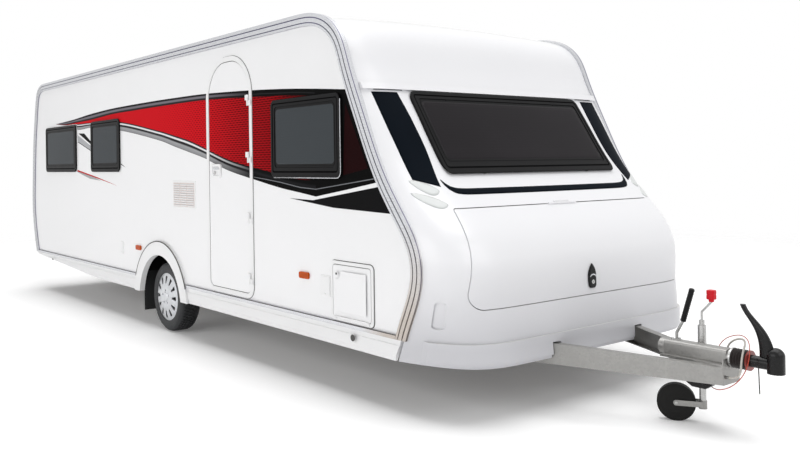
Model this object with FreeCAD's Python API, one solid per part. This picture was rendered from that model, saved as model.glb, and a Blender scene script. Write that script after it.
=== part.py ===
import FreeCAD, Part
import math
import os
from FreeCAD import Vector

# Travel caravan with one axle, a moulded nose with a gas locker and an A-frame drawbar.
# Lengths are millimetres. x runs forward from the rear end of the side wall's lower edge,
# y runs to the left and z runs up from the ground. The door side is at negative y.

# Body shell
body_width = 2500.0
wall_thickness = 35.0
nose_wall = 45.0
tail_wall = 28.0
roof_thickness = 30.0
wall_top = 2603.0
wall_bottom = 478.0
roof_crown = 32.0
floor_thickness = 47.0
tail_start = 255.0
tail_depth = 487.0
tail_bottom = 455.0
tail_bow = 45.0
nose_start = 6100.0
nose_depth = 1294.0
nose_bottom = 345.0
nose_bow = 535.0
plan_power_share = 10.0
overrun = 40.0
gap = 5.0
seat_gap = 0.3

# Side view of the nose at the wall: depth share, height share, bow share, crown share.
nose_shares = [
    (0.000, 1.000, 0.00, 1.00),
    (0.255, 0.979, 0.02, 0.90),
    (0.390, 0.919, 0.05, 0.60),
    (0.461, 0.832, 0.09, 0.30),
    (0.588, 0.672, 0.21, 0.05),
    (0.757, 0.490, 0.34, 0.00),
    (0.898, 0.383, 0.45, 0.00),
    (0.978, 0.310, 0.49, 0.00),
    (1.000, 0.241, 0.52, 0.00),
    (0.981, 0.186, 0.57, 0.00),
    (0.913, 0.097, 0.80, 0.00),
    (0.845, 0.000, 1.00, 0.00),
]

# Side view of the tail, in the same form.
tail_shares = [
    (0.000, 1.000, 0.00, 1.00),
    (0.318, 0.989, 0.20, 0.80),
    (0.503, 0.964, 0.50, 0.50),
    (0.606, 0.919, 0.80, 0.20),
    (0.739, 0.803, 1.00, 0.00),
    (0.852, 0.684, 1.00, 0.00),
    (0.965, 0.440, 1.00, 0.00),
    (1.000, 0.347, 1.00, 0.00),
    (0.945, 0.198, 1.00, 0.00),
    (0.790, 0.074, 1.00, 0.00),
    (0.657, 0.000, 1.00, 0.00),
]

# The coupling handle from foot to top: height share, taper share, lean share.
handle_shares = [(0.00, 0.00, 0.00), (0.30, 0.25, 0.10), (0.65, 0.70, 0.50), (0.96, 1.00, 0.97), (1.00, 1.00, 1.00)]

station_shares = [0.2, 0.45, 0.62, 0.74, 0.83, 0.9, 0.945, 0.975, 1.0]

# Front mouldings
brow_height = 2080.0
waist_height = 1400.0
brow_proud = 16.0
brow_depth = 30.0
brow_ledge = 12.0
lip_proud = 12.0
lip_top = 490.0
lip_rise = 20.0
grip_edge = 52.0
grip_width = 42.0
grip_bottom = 570.0
grip_top = 735.0
grip_corner = 20.0
grip_depth = 7.0

# Skirts, wheel arches and trims
skirt_bottom = 338.0
skirt_setback = 244.0
skirt_rise_start = 2045.0
skirt_rise = 112.0
skirt_thickness = 26.0
skirt_groove_drop = 34.0
skirt_groove_radius = 4.0
skirt_bevel_height = 38.0
skirt_bevel_depth = 13.0
arch_radius = 462.0
arch_width = 128.0
arch_proud = 18.0
arch_centre_height = 262.0
wall_cut_radius = 540.0
edge_rail_width = 68.0
edge_rail_lip = 22.0
edge_rail_proud = 12.0
edge_rail_grooves = [(5.0, 13.0, 3.0), (43.0, 50.0, 3.0)]
lower_rail_height = 26.0
wheel_box_half = 482.0
wheel_box_top = 818.0
wheel_box_depth = 285.0
wheel_box_skin = 8.0

# Running gear
axle_place = 3720.0
tyre_radius = 325.0
tyre_width = 205.0
tyre_inset = 60.0
rim_radius = 205.0
rim_skin = 9.0
tread_corner = 28.0
drum_radius = 118.0
drum_width = 62.0
drum_gap = 6.0
stub_radius = 22.0
backplate_radius = 128.0
backplate_thickness = 6.0
cover_radius = 224.0
cover_dish = 26.0
cover_slots = 12
cover_slot_start = 128.0
cover_slot_end = 196.0
cover_slot_inner_width = 17.0
cover_slot_outer_width = 40.0
cover_slot_radius = 6.0
cover_cap_radius = 40.0
cover_cap_proud = 6.0
cover_nuts = 5
cover_nut_circle = 62.0
cover_nut_radius = 10.0
cover_nut_depth = 7.0
arm_length = 160.0
arm_width = 52.0
arm_thickness = 34.0
axle_tube_size = 84.0
axle_tube_skin = 6.0

# Chassis
rail_height = 160.0
rail_flange = 52.0
rail_skin = 4.0
rail_inset = 400.0
rail_rear = 240.0
rail_bend_setback = 190.0
leg_reach = 1226.0
leg_front_offset = 34.0
leg_front_top = 388.0
leg_front_bottom = 288.0
leg_clearance = 10.0
rail_hole_radius = 38.0
rail_hole_pitch = 420.0
cross_height = 90.0
cross_width = 46.0
cross_setback = 80.0
cross_span = 1420.0

# Coupling and brake gear
coupling_height = 436.0
housing_radius = 46.0
housing_bore = 26.0
housing_base = 14.0
housing_reach = 430.0
housing_nose = 20.0
housing_corner = 20.0
bellows_length = 96.0
bellows_radius = 56.0
bellows_folds = 6
bellows_fold_depth = 11.0
head_length = 190.0
head_radius = 46.0
head_neck_radius = 34.0
head_height = 140.0
head_drop = 46.0
ball_radius = 25.2
socket_throat = 14.0
handle_thickness = 34.0
handle_rise = 276.0
handle_foot_length = 88.0
handle_top_length = 30.0
handle_lean = 136.0
lever_offset = 66.0
lever_rise = 110.0
lever_lean = 42.0
lever_bend_rise = 184.0
grip_lean = 102.0
grip_rise = 377.0
lever_radius = 9.0
grip_radius = 15.0

# Jockey wheel
jockey_setback = 220.0
jockey_offset = 86.0
jockey_tube_radius = 24.0
jockey_tube_skin = 2.6
jockey_tube_bottom = 236.0
jockey_tube_top = 575.0
stem_radius = 19.6
stem_bottom = 128.0
stem_top = 400.0
stem_collar = 40.0
jockey_wheel_radius = 110.0
jockey_wheel_width = 52.0
jockey_hub_radius = 62.0
jockey_trail = 148.0
jockey_trail_angle = 212.0
fork_plate = 6.0
fork_bar = 32.0
fork_sleeve_height = 48.0
clamp_height = 40.0
clamp_wall = 9.0
crank_radius = 6.5
crank_rise = 48.0
crank_throw = 62.0
crank_slope_rise = 66.0
crank_nut_radius = 15.0
crank_nut_height = 30.0
knob_radius = 22.0
knob_length = 50.0
knob_collar_radius = 12.0
knob_collar_length = 18.0

# Corner steadies
steady_length = 426.0
steady_width = 46.0
steady_height = 34.0
steady_skin = 4.0
steady_inset = 265.0
steady_pivot_drop = 62.0
steady_pin_radius = 8.0
steady_rear_place = 520.0
steady_front_setback = 390.0
steady_foot = 88.0

# Entrance door
door_rear = 4745.0
door_width = 680.0
door_handle_place = 60.0
door_handle_length = 160.0
door_handle_bottom = 1456.0
door_handle_top = 1572.0
door_handle_radius = 10.0
door_handle_proud = 16.0
door_sill = 552.0
door_top = 2402.0
door_top_radius = 296.0
door_bottom_radius = 62.0
door_frame_width = 40.0
door_frame_proud = 7.0
door_proud = 4.0
hinge_radius = 9.0
hinge_length = 84.0
hinge_heights = [672.0, 1144.0, 1620.0, 2066.0]

# Windows: rear edge, length, sill and top
window_radius = 46.0
frame_width = 34.0
frame_proud = 12.0
pane_thickness = 6.0
pane_proud = 18.0
blind_thickness = 4.0
bed_window = (350.0, 1105.0, 1507.0, 2056.0)
bath_window = (1945.0, 830.0, 1507.0, 2060.0)
kitchen_window = (2600.0, 830.0, 1507.0, 2060.0)
lounge_window_setback = 343.0
lounge_window_length = 875.0
lounge_window_sill = 1466.0
lounge_window_top = 2037.0
front_window_inset = 382.0
front_window_rise = 87.0
front_window_drop = 34.0
rear_window_inset = 690.0
rear_window_sill = 1480.0
rear_window_top = 2030.0

# Gas locker
lid_top_inset = 258.0
lid_bottom_inset = 166.0
lid_bottom = 684.0
lid_drop = 122.0
lid_radius = 95.0
lid_top_radius = 22.0
locker_depth = 444.0
bulkhead_thickness = 20.0
shelf_drop = 55.0
lid_hinge_half = 70.0
lid_hinge_radius = 7.0
lid_hinge_leaf = 21.0
lid_knuckle = 70.0
lid_handle_height = 806.0
lid_handle_width = 74.0
lid_handle_corner = 35.0
lid_handle_tall = 160.0

# Service hatch, vent and small flaps
hatch_setback = 430.0
hatch_length = 420.0
hatch_bottom = 533.0
hatch_top = 888.0
hatch_radius = 24.0
hatch_frame_width = 22.0
hatch_frame_proud = 8.0
vent_rear = 4015.0
vent_length = 465.0
vent_bottom = 1180.0
vent_top = 1426.0
vent_columns = 3
vent_rows = 10
vent_proud = 8.0
flap_proud = 8.0
inlet_flap = (2750.0, 84.0, 666.0, 798.0)
water_flap_setback = 154.0
water_flap_length = 122.0
water_flap_bottom = 655.0
water_flap_top = 799.0

# Lamps
marker_length = 120.0
marker_height = 46.0
marker_proud = 14.0
rear_marker = (3164.0, 760.0)
front_marker_setback = 408.0
front_marker_height = 774.0
rear_lamp_width = 120.0
rear_lamp_height = 420.0
rear_lamp_inset = 120.0
rear_lamp_bottom = 640.0
rear_lamp_proud = 22.0
bumper_height = 120.0
bumper_proud = 40.0
bumper_inset = 170.0

# Roof
rooflight_size = 400.0
rooflight_rise = 70.0
rooflight_places = [1350.0, 3900.0, 5650.0]
roof_vent_place = 3260.0
roof_vent_inset = 160.0
roof_vent_radius = 62.0
roof_vent_rise = 46.0

# Mudflaps
mudflap_thickness = 6.0
mudflap_drop = 215.0

# Free cords
cable_radius = 5.5
breakaway_radius = 2.5
cable_run_share = 0.45
cable_points = [
    Vector(8560.0, 66.0, 430.0),
    Vector(8566.0, 66.0, 474.0),
    Vector(8592.0, 64.0, 510.0),
    Vector(8634.0, 56.0, 534.0),
    Vector(8684.0, 34.0, 542.0),
    Vector(8716.0, -12.0, 526.0),
    Vector(8726.0, -58.0, 488.0),
    Vector(8728.0, -80.0, 434.0),
    Vector(8726.0, -82.0, 378.0),
    Vector(8700.0, -72.0, 342.0),
    Vector(8648.0, -64.0, 334.0),
]
breakaway_points = [
    Vector(8510.0, 60.0, 420.0),
    Vector(8514.0, 60.0, 462.0),
    Vector(8536.0, 58.0, 502.0),
    Vector(8576.0, 54.0, 534.0),
    Vector(8628.0, 44.0, 556.0),
    Vector(8686.0, 20.0, 566.0),
    Vector(8738.0, -18.0, 552.0),
    Vector(8766.0, -56.0, 508.0),
    Vector(8774.0, -86.0, 450.0),
    Vector(8762.0, -106.0, 388.0),
    Vector(8726.0, -116.0, 332.0),
    Vector(8674.0, -114.0, 290.0),
    Vector(8612.0, -98.0, 264.0),
    Vector(8556.0, -62.0, 254.0),
    Vector(8512.0, -18.0, 254.0),
    Vector(8472.0, 12.0, 262.0),
    Vector(8424.0, 12.0, 262.0),
]
cable_gland_radius = 9.0
cable_gland_length = 30.0
hook_radius = 5.0
hook_length = 20.0

half_width = body_width / 2
inner_half = half_width - wall_thickness
floor_top = wall_bottom + floor_thickness
nose_end = nose_start + nose_depth
skirt_front = nose_end - skirt_setback
arch_outer_radius = arch_radius + arch_width
tyre_outer_face = half_width - tyre_inset
bulkhead_place = nose_end - locker_depth
shelf_height = waist_height - shelf_drop
lid_top = waist_height - lid_drop
rail_offset = half_width - rail_inset
rail_bend = bulkhead_place - rail_bend_setback
leg_front = nose_end + leg_reach
cross_places = [rail_rear + cross_setback, axle_place - cross_span, axle_place + cross_span,
                rail_bend - cross_setback]
housing_rear = leg_front - housing_reach
housing_front = leg_front + housing_nose
jockey_place = leg_front - jockey_setback
steady_offset = half_width - steady_inset
steady_front_place = bulkhead_place - steady_front_setback
steady_pivot_height = wall_bottom - steady_pivot_drop
lounge_window = (nose_start - lounge_window_setback, lounge_window_length, lounge_window_sill, lounge_window_top)
right_windows = [bed_window, bath_window, lounge_window]
left_windows = [bed_window, kitchen_window, lounge_window]
front_window_half = half_width - front_window_inset
front_window_sill = waist_height + front_window_rise
front_window_top = brow_height - front_window_drop
rear_window_half = half_width - rear_window_inset
hatch_rear = bulkhead_place - hatch_setback
flaps = [inlet_flap, (hatch_rear - water_flap_setback, water_flap_length, water_flap_bottom, water_flap_top)]
marker_places = [rear_marker, (hatch_rear - front_marker_setback, front_marker_height)]
rear_lamp_offset = half_width - rear_lamp_inset - rear_lamp_width
bumper_half = half_width - bumper_inset
roof_vent_offset = roof_vent_inset - half_width
coupling_nose = housing_front + bellows_length + head_length
tail_end = tail_start - tail_depth - tail_bow
frame_shift = (coupling_nose + tail_end) / 2
far = body_width * 4

shapes = {}


def keep(node, *solids):
    """Add solids to a node."""
    shapes.setdefault(node, []).extend(solids)


def box(x0, x1, y0, y1, z0, z1):
    return Part.makeBox(x1 - x0, y1 - y0, z1 - z0, Vector(x0, y0, z0))


def rod(start, end, radius):
    along = end - start
    return Part.makeCylinder(radius, along.Length, start, along)


def mirrored(shape):
    return shape.mirror(Vector(0, 0, 0), Vector(0, 1, 0))


def ring_shape(u0, u1, v0, v1, low_radius, high_radius, place):
    """Closed outline of a rectangle with round corners; place turns (u, v) into a point."""
    root = 1 - math.sqrt(0.5)
    low, high = low_radius, high_radius
    edges = [
        Part.makeLine(place(u0 + low, v0), place(u1 - low, v0)),
        Part.Arc(place(u1 - low, v0), place(u1 - low * root, v0 + low * root), place(u1, v0 + low)).toShape(),
        Part.makeLine(place(u1, v0 + low), place(u1, v1 - high)),
        Part.Arc(place(u1, v1 - high), place(u1 - high * root, v1 - high * root), place(u1 - high, v1)).toShape(),
        Part.makeLine(place(u1 - high, v1), place(u0 + high, v1)),
        Part.Arc(place(u0 + high, v1), place(u0 + high * root, v1 - high * root), place(u0, v1 - high)).toShape(),
        Part.makeLine(place(u0, v1 - high), place(u0, v0 + low)),
        Part.Arc(place(u0, v0 + low), place(u0 + low * root, v0 + low * root), place(u0 + low, v0)).toShape(),
    ]
    return Part.Face(Part.Wire(edges))


def plate_y(x0, x1, z0, z1, radius, y0, y1, top_radius=None):
    """Plate with round corners that lies in a side wall, from y0 to y1."""
    high = radius if top_radius is None else top_radius
    face = ring_shape(x0, x1, z0, z1, radius, high, lambda u, v: Vector(u, y0, v))
    return face.extrude(Vector(0, y1 - y0, 0))


def plate_x(y0, y1, z0, z1, radius, x0, x1):
    """Plate with round corners that lies across the body, from x0 to x1."""
    face = ring_shape(y0, y1, z0, z1, radius, radius, lambda u, v: Vector(x0, u, v))
    return face.extrude(Vector(x1 - x0, 0, 0))


def plate_z(x0, x1, y0, y1, radius, z0, z1):
    """Flat plate with round corners, from z0 to z1."""
    face = ring_shape(x0, x1, y0, y1, radius, radius, lambda u, v: Vector(u, v, z0))
    return face.extrude(Vector(0, 0, z1 - z0))


def outline_y(points, y0, y1):
    """Straight-sided outline of (x, z) points, extruded from y0 to y1."""
    wire = Part.makePolygon([Vector(x, y0, z) for x, z in points + points[:1]])
    return Part.Face(wire).extrude(Vector(0, y1 - y0, 0))


def plan_share(y, inset):
    """How much of the bow is left at y: all at the middle, none at the wall moved in by inset."""
    return 1 - min(1, abs(y) / (half_width - inset)) ** plan_power_share


def crown_at(y):
    return roof_crown * (1 - (y / half_width) ** 2)


def end_curve(shares, start, depth, bottom, bow, y, inset):
    """Curve of the nose (positive depth) or the tail (negative depth) in the plane at y."""
    height = wall_top - bottom
    points = []
    for deep, high, bowed, crowned in shares:
        x = start + depth * deep + bow * bowed * plan_share(y, inset)
        z = bottom + height * high + crown_at(y) * crowned
        points.append(Vector(x, y, z))
    curve = Part.BSplineCurve()
    ahead = Vector(math.copysign(1, depth), 0, 0)
    down = (points[-1] - points[-2]).normalize()
    curve.interpolate(Points=points, InitialTangent=ahead, FinalTangent=down, Scale=False)
    if inset == 0:
        return curve
    moved = []
    for point in points:
        tangent = curve.tangent(curve.parameter(point))[0]
        normal = Vector(0, math.copysign(1, depth), 0).cross(tangent)
        moved.append(point + normal.normalize() * inset)
    curve = Part.BSplineCurve()
    curve.interpolate(Points=moved, InitialTangent=ahead, FinalTangent=down, Scale=False)
    return curve


def end_shell(shares, start, depth, bottom, bow, outset, inset, half):
    """Curved end panel between two insets, lofted from side to side."""
    sections = []
    for share in [-share for share in reversed(station_shares)] + station_shares:
        y = share * half
        outer = end_curve(shares, start, depth, bottom, bow, y, -outset)
        inner = end_curve(shares, start, depth, bottom, bow, y, inset)
        edges = [
            outer.toShape(),
            Part.makeLine(outer.EndPoint, inner.EndPoint),
            inner.toShape(),
            Part.makeLine(inner.StartPoint, outer.StartPoint),
        ]
        sections.append(Part.Wire(Part.__sortEdges__(edges)))
    return Part.makeLoft(sections, True, False)


def nose_shell(outset, inset):
    return end_shell(nose_shares, nose_start, nose_depth, nose_bottom, nose_bow, outset, inset, half_width)


def tail_shell(outset, inset):
    return end_shell(tail_shares, tail_start, -tail_depth, tail_bottom, -tail_bow, outset, inset, half_width)


def side_outline(inset):
    """Closed outline of the side wall in the plane y = 0, moved inwards by inset."""
    nose = end_curve(nose_shares, nose_start, nose_depth, nose_bottom, 0, half_width, inset)
    tail = end_curve(tail_shares, tail_start, -tail_depth, tail_bottom, 0, half_width, inset)
    edges = [
        nose.toShape(),
        Part.makeLine(nose.EndPoint, tail.EndPoint),
        tail.toShape(),
        Part.makeLine(tail.StartPoint, nose.StartPoint),
    ]
    face = Part.Face(Part.Wire(Part.__sortEdges__(edges)))
    face.translate(Vector(0, -half_width, 0))
    return face


def side_slab(inset, y0, y1):
    face = side_outline(inset)
    face.translate(Vector(0, y0, 0))
    return face.extrude(Vector(0, y1 - y0, 0))


def lid_space(inset):
    """Space of the locker lid's outline, moved inwards by inset; it widens towards its round lower corners."""
    top, low = lid_top - inset, lid_bottom + inset
    top_half = half_width - lid_top_inset - inset
    low_half = half_width - lid_bottom_inset - inset
    corners = [(-low_half, low), (low_half, low), (top_half, top), (-top_half, top)]
    wire = Part.makePolygon([Vector(nose_start, y, z) for y, z in corners + corners[:1]])
    space = Part.Face(wire).extrude(Vector(far, 0, 0))
    for height, radius in ((low, lid_radius - inset), (top, lid_top_radius - inset)):
        edges = [edge for edge in space.Edges
                 if edge.BoundBox.XLength > overrun and abs(edge.CenterOfMass.z - height) < seat_gap]
        space = space.makeFillet(radius, edges)
    return space


def keep_between(shape, z0, z1):
    return shape.common(box(-far, far, -far, far, z0, z1))


def build_side_wall(side, windows):
    """Flat side wall with its window holes and wheel arch; side is -1 for the door side."""
    y0, y1 = (-half_width, -inner_half) if side < 0 else (inner_half, half_width)
    wall = keep_between(side_slab(0, y0, y1), wall_bottom, far)
    cuts = [rod(Vector(axle_place, y0 - overrun, arch_centre_height),
                Vector(axle_place, y1 + overrun, arch_centre_height), wall_cut_radius)]
    for rear, length, sill, top in windows:
        cuts.append(plate_y(rear + frame_width, rear + length - frame_width, sill + frame_width,
                            top - frame_width, window_radius, y0 - overrun, y1 + overrun))
    if side < 0:
        cuts.append(plate_y(door_rear, door_rear + door_width, door_sill, door_top, door_bottom_radius,
                            y0 - overrun, y1 + overrun, door_top_radius))
        cuts.append(plate_y(hatch_rear, hatch_rear + hatch_length, hatch_bottom, hatch_top,
                            hatch_radius, y0 - overrun, y1 + overrun))
        cuts.append(box(vent_rear + frame_width, vent_rear + vent_length - frame_width, y0 - overrun,
                        y1 + overrun, vent_bottom + frame_width, vent_top - frame_width))
    return wall.cut(cuts)


def build_shell():
    keep("side_wall_right", build_side_wall(-1, right_windows))
    keep("side_wall_left", build_side_wall(1, left_windows))
    walls = [side_slab(0, -half_width, -inner_half), side_slab(0, inner_half, half_width)]
    nose = nose_shell(0, nose_wall).cut(walls)
    keep("front_cap", keep_between(nose, brow_height, far).fuse(build_brow()).removeSplitter())
    window_hole = plate_x(-front_window_half + frame_width, front_window_half - frame_width,
                          front_window_sill + frame_width, front_window_top - frame_width,
                          window_radius, nose_start, far)
    keep("front_window_panel", keep_between(nose, waist_height, brow_height).cut(window_hole))
    leg_space = leg_bar(-leg_clearance, rail_flange + leg_clearance, -leg_clearance)
    moulding = keep_between(nose, nose_bottom - overrun, waist_height).fuse(build_lip())
    grip = nose_shell(overrun, grip_depth).common(
        plate_x(grip_edge - half_width, grip_edge + grip_width - half_width, grip_bottom, grip_top, grip_corner,
                nose_start, far))
    keep("front_moulding", moulding.cut([lid_space(0), leg_space, mirrored(leg_space), grip, mirrored(grip)]))
    rear_hole = plate_x(-rear_window_half + frame_width, rear_window_half - frame_width,
                        rear_window_sill + frame_width, rear_window_top - frame_width,
                        window_radius, -far, tail_start)
    keep("rear_wall", tail_shell(0, tail_wall).cut([rear_hole] + walls))
    keep("roof", build_roof())
    keep("floor", build_floor())
    keep("locker_bulkhead", build_bulkhead())


def build_brow():
    """Lip that hangs from the front cap over the top edge of the window panel."""
    half = inner_half - gap
    lip = nose_shell(brow_proud, nose_wall / 2).common(
        box(nose_start, far, -half, half, brow_height - brow_depth, brow_height + brow_ledge))
    return lip.cut(keep_between(nose_shell(seat_gap, nose_wall), waist_height, brow_height))


def build_lip():
    """Proud lower edge of the front moulding."""
    half = inner_half - gap
    return nose_shell(lip_proud, nose_wall / 2).common(
        box(nose_start, far, -half, half, nose_bottom + lip_rise, lip_top))


def build_roof():
    """Roof panel with a light crown and holes for the rooflights."""
    def arc(drop):
        side = wall_top + crown_at(inner_half) - drop
        middle = wall_top + roof_crown - drop
        return Part.Arc(Vector(tail_start, -inner_half, side), Vector(tail_start, 0, middle),
                        Vector(tail_start, inner_half, side))
    top, under = arc(0), arc(roof_thickness)
    edges = [
        top.toShape(),
        Part.makeLine(top.EndPoint, under.EndPoint),
        under.toShape(),
        Part.makeLine(under.StartPoint, top.StartPoint),
    ]
    roof = Part.Face(Part.Wire(Part.__sortEdges__(edges))).extrude(Vector(nose_start - tail_start, 0, 0))
    half = rooflight_size / 2 - frame_width
    holes = [box(x - half, x + half, -half, half, wall_top - wall_thickness * 2, far)
             for x in rooflight_places]
    return roof.cut(holes)


def bowed_plate(x0, x1, bow, z0, z1):
    """Plate between the side walls whose front edge bows forward."""
    front = Part.Arc(Vector(x1, -inner_half, z0), Vector(x1 + bow, 0, z0), Vector(x1, inner_half, z0))
    edges = [
        front.toShape(),
        Part.makeLine(Vector(x1, inner_half, z0), Vector(x0, inner_half, z0)),
        Part.makeLine(Vector(x0, inner_half, z0), Vector(x0, -inner_half, z0)),
        Part.makeLine(Vector(x0, -inner_half, z0), Vector(x1, -inner_half, z0)),
    ]
    return Part.Face(Part.Wire(edges)).extrude(Vector(0, 0, z1 - z0))


def curve_at(shares, start, depth, bottom, bow, y, inset, z):
    """Where the end panel's inner or outer face stands at y and z."""
    curve = end_curve(shares, start, depth, bottom, bow, y, inset)
    low, high = curve.FirstParameter, curve.LastParameter
    for _ in range(40):
        middle = (low + high) / 2
        if curve.value(middle).z > z:
            low = middle
        else:
            high = middle
    return curve.value(low).x


def nose_at(y, z, inset=0):
    return curve_at(nose_shares, nose_start, nose_depth, nose_bottom, nose_bow, y, inset, z)


def tail_at(y, z, inset=0):
    return curve_at(tail_shares, tail_start, -tail_depth, tail_bottom, -tail_bow, y, inset, z)


def build_floor():
    front = nose_at(inner_half, wall_bottom, nose_wall)
    middle = nose_at(0, wall_bottom, nose_wall)
    rear = tail_at(inner_half, wall_bottom, tail_wall) + seat_gap
    floor = bowed_plate(rear, front, middle - front - nose_wall, wall_bottom, floor_top)
    cuts = []
    for side in (-1, 1):
        edge, deep = side * inner_half, side * (inner_half - wheel_box_depth)
        cuts.append(box(axle_place - wheel_box_half, axle_place + wheel_box_half, min(edge, deep),
                        max(edge, deep), wall_bottom - overrun, floor_top + overrun))
    return floor.cut(cuts)


def build_bulkhead():
    """Plate between the cabin and the gas locker, with the shelf over the locker."""
    plate = box(bulkhead_place, bulkhead_place + bulkhead_thickness, -inner_half, inner_half,
                floor_top, shelf_height)
    edge = nose_at(inner_half, shelf_height, nose_wall) - seat_gap
    middle = nose_at(0, shelf_height, nose_wall) - nose_wall
    shelf = bowed_plate(bulkhead_place, edge, middle - edge, shelf_height - bulkhead_thickness, shelf_height)
    return plate.fuse(shelf).removeSplitter()


def build_skirt():
    """Right-hand skirt below the wall with its wheel arch flare."""
    y0, y1 = -half_width, -half_width + skirt_thickness
    rear = tail_at(half_width, tail_bottom)
    points = [
        (rear, wall_bottom),
        (rear, skirt_bottom + skirt_rise),
        (skirt_rise_start, skirt_bottom),
        (skirt_front, skirt_bottom),
        (skirt_front + (wall_bottom - skirt_bottom) / 2, wall_bottom),
    ]
    skirt = outline_y(points, y0, y1)
    low = Vector(axle_place, y0 - arch_proud, arch_centre_height)
    step = Vector(axle_place, y0, arch_centre_height)
    back = Vector(axle_place, -inner_half, arch_centre_height)
    flare = rod(low, step, arch_outer_radius).fuse(rod(step, back, wall_cut_radius - gap))
    flare = keep_between(flare, skirt_bottom, far)
    opening = rod(Vector(axle_place, -far, arch_centre_height), Vector(axle_place, far, arch_centre_height),
                  arch_radius)
    groove_height = wall_bottom - skirt_groove_drop
    groove = rod(Vector(rear - overrun, y0, groove_height), Vector(far, y0, groove_height), skirt_groove_radius)
    bevel = Part.makePolygon([
        Vector(-far, y0, skirt_bottom + skirt_bevel_height),
        Vector(-far, y0 - gap, skirt_bottom - gap),
        Vector(-far, y0 + skirt_bevel_depth, skirt_bottom - gap),
        Vector(-far, y0, skirt_bottom + skirt_bevel_height),
    ])
    skirt = skirt.cut([groove, Part.Face(bevel).extrude(Vector(far * 2, 0, 0))])
    return skirt.fuse(flare).cut(opening).removeSplitter().cut(shapes["front_moulding"] + shapes["rear_wall"])


def build_trims():
    skirt = build_skirt()
    keep("skirt_right", skirt)
    keep("skirt_left", mirrored(skirt))
    y0 = -half_width - edge_rail_proud
    outer = side_slab(-edge_rail_lip, y0, -inner_half)
    window = side_slab(edge_rail_width, y0 - overrun, -half_width)
    body = side_slab(0, -half_width, -inner_half + overrun)
    noses = [shapes[node][0] for node in ("front_cap", "front_window_panel", "front_moulding", "rear_wall")]
    edge_rail = keep_between(outer.cut(window).cut(body).cut(noses), wall_bottom, far)
    for start, end, proud in edge_rail_grooves:
        groove = side_slab(start, y0 - overrun, -half_width - proud)
        edge_rail = edge_rail.cut(groove.cut(side_slab(end, y0 - overrun * 2, -half_width)))
    keep("body_rails", edge_rail, mirrored(edge_rail))
    rail_front = curve_at(nose_shares, nose_start, nose_depth, nose_bottom, 0, half_width,
                          edge_rail_width, wall_bottom + lower_rail_height) - gap
    rail_rear_end = curve_at(tail_shares, tail_start, -tail_depth, tail_bottom, 0, half_width,
                             edge_rail_width, wall_bottom + lower_rail_height) + gap
    reach = math.sqrt(arch_outer_radius ** 2 - (wall_bottom - arch_centre_height) ** 2) + gap
    for x0, x1 in ((rail_rear_end, axle_place - reach), (axle_place + reach, rail_front)):
        lower = box(x0, x1, y0, -half_width, wall_bottom, wall_bottom + lower_rail_height)
        keep("body_rails", lower, mirrored(lower))


def build_wheel_boxes():
    inner = inner_half - wheel_box_depth
    x0, x1 = axle_place - wheel_box_half, axle_place + wheel_box_half
    shell = box(x0, x1, inner, inner_half, wall_bottom, wheel_box_top)
    hollow = box(x0 + wheel_box_skin, x1 - wheel_box_skin, inner + wheel_box_skin, inner_half + overrun,
                 wall_bottom - overrun, wheel_box_top - wheel_box_skin)
    shell = shell.cut(hollow)
    keep("wheel_boxes", shell, mirrored(shell))
    flap_x = x0 + wheel_box_skin
    flap = box(flap_x, flap_x + mudflap_thickness, inner + wheel_box_skin + gap, inner_half - gap,
               wall_bottom - rail_height - mudflap_drop + overrun, wall_bottom + floor_thickness)
    keep("mudflaps", flap, mirrored(flap))


def revolve_y(points, x, z):
    """Outline of (radius, y) points turned once about the axle line at (x, z)."""
    wire = Part.makePolygon([Vector(x, y, z + r) for r, y in points + points[:1]])
    return Part.Face(wire).revolve(Vector(x, 0, z), Vector(0, 1, 0), 360)


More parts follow.
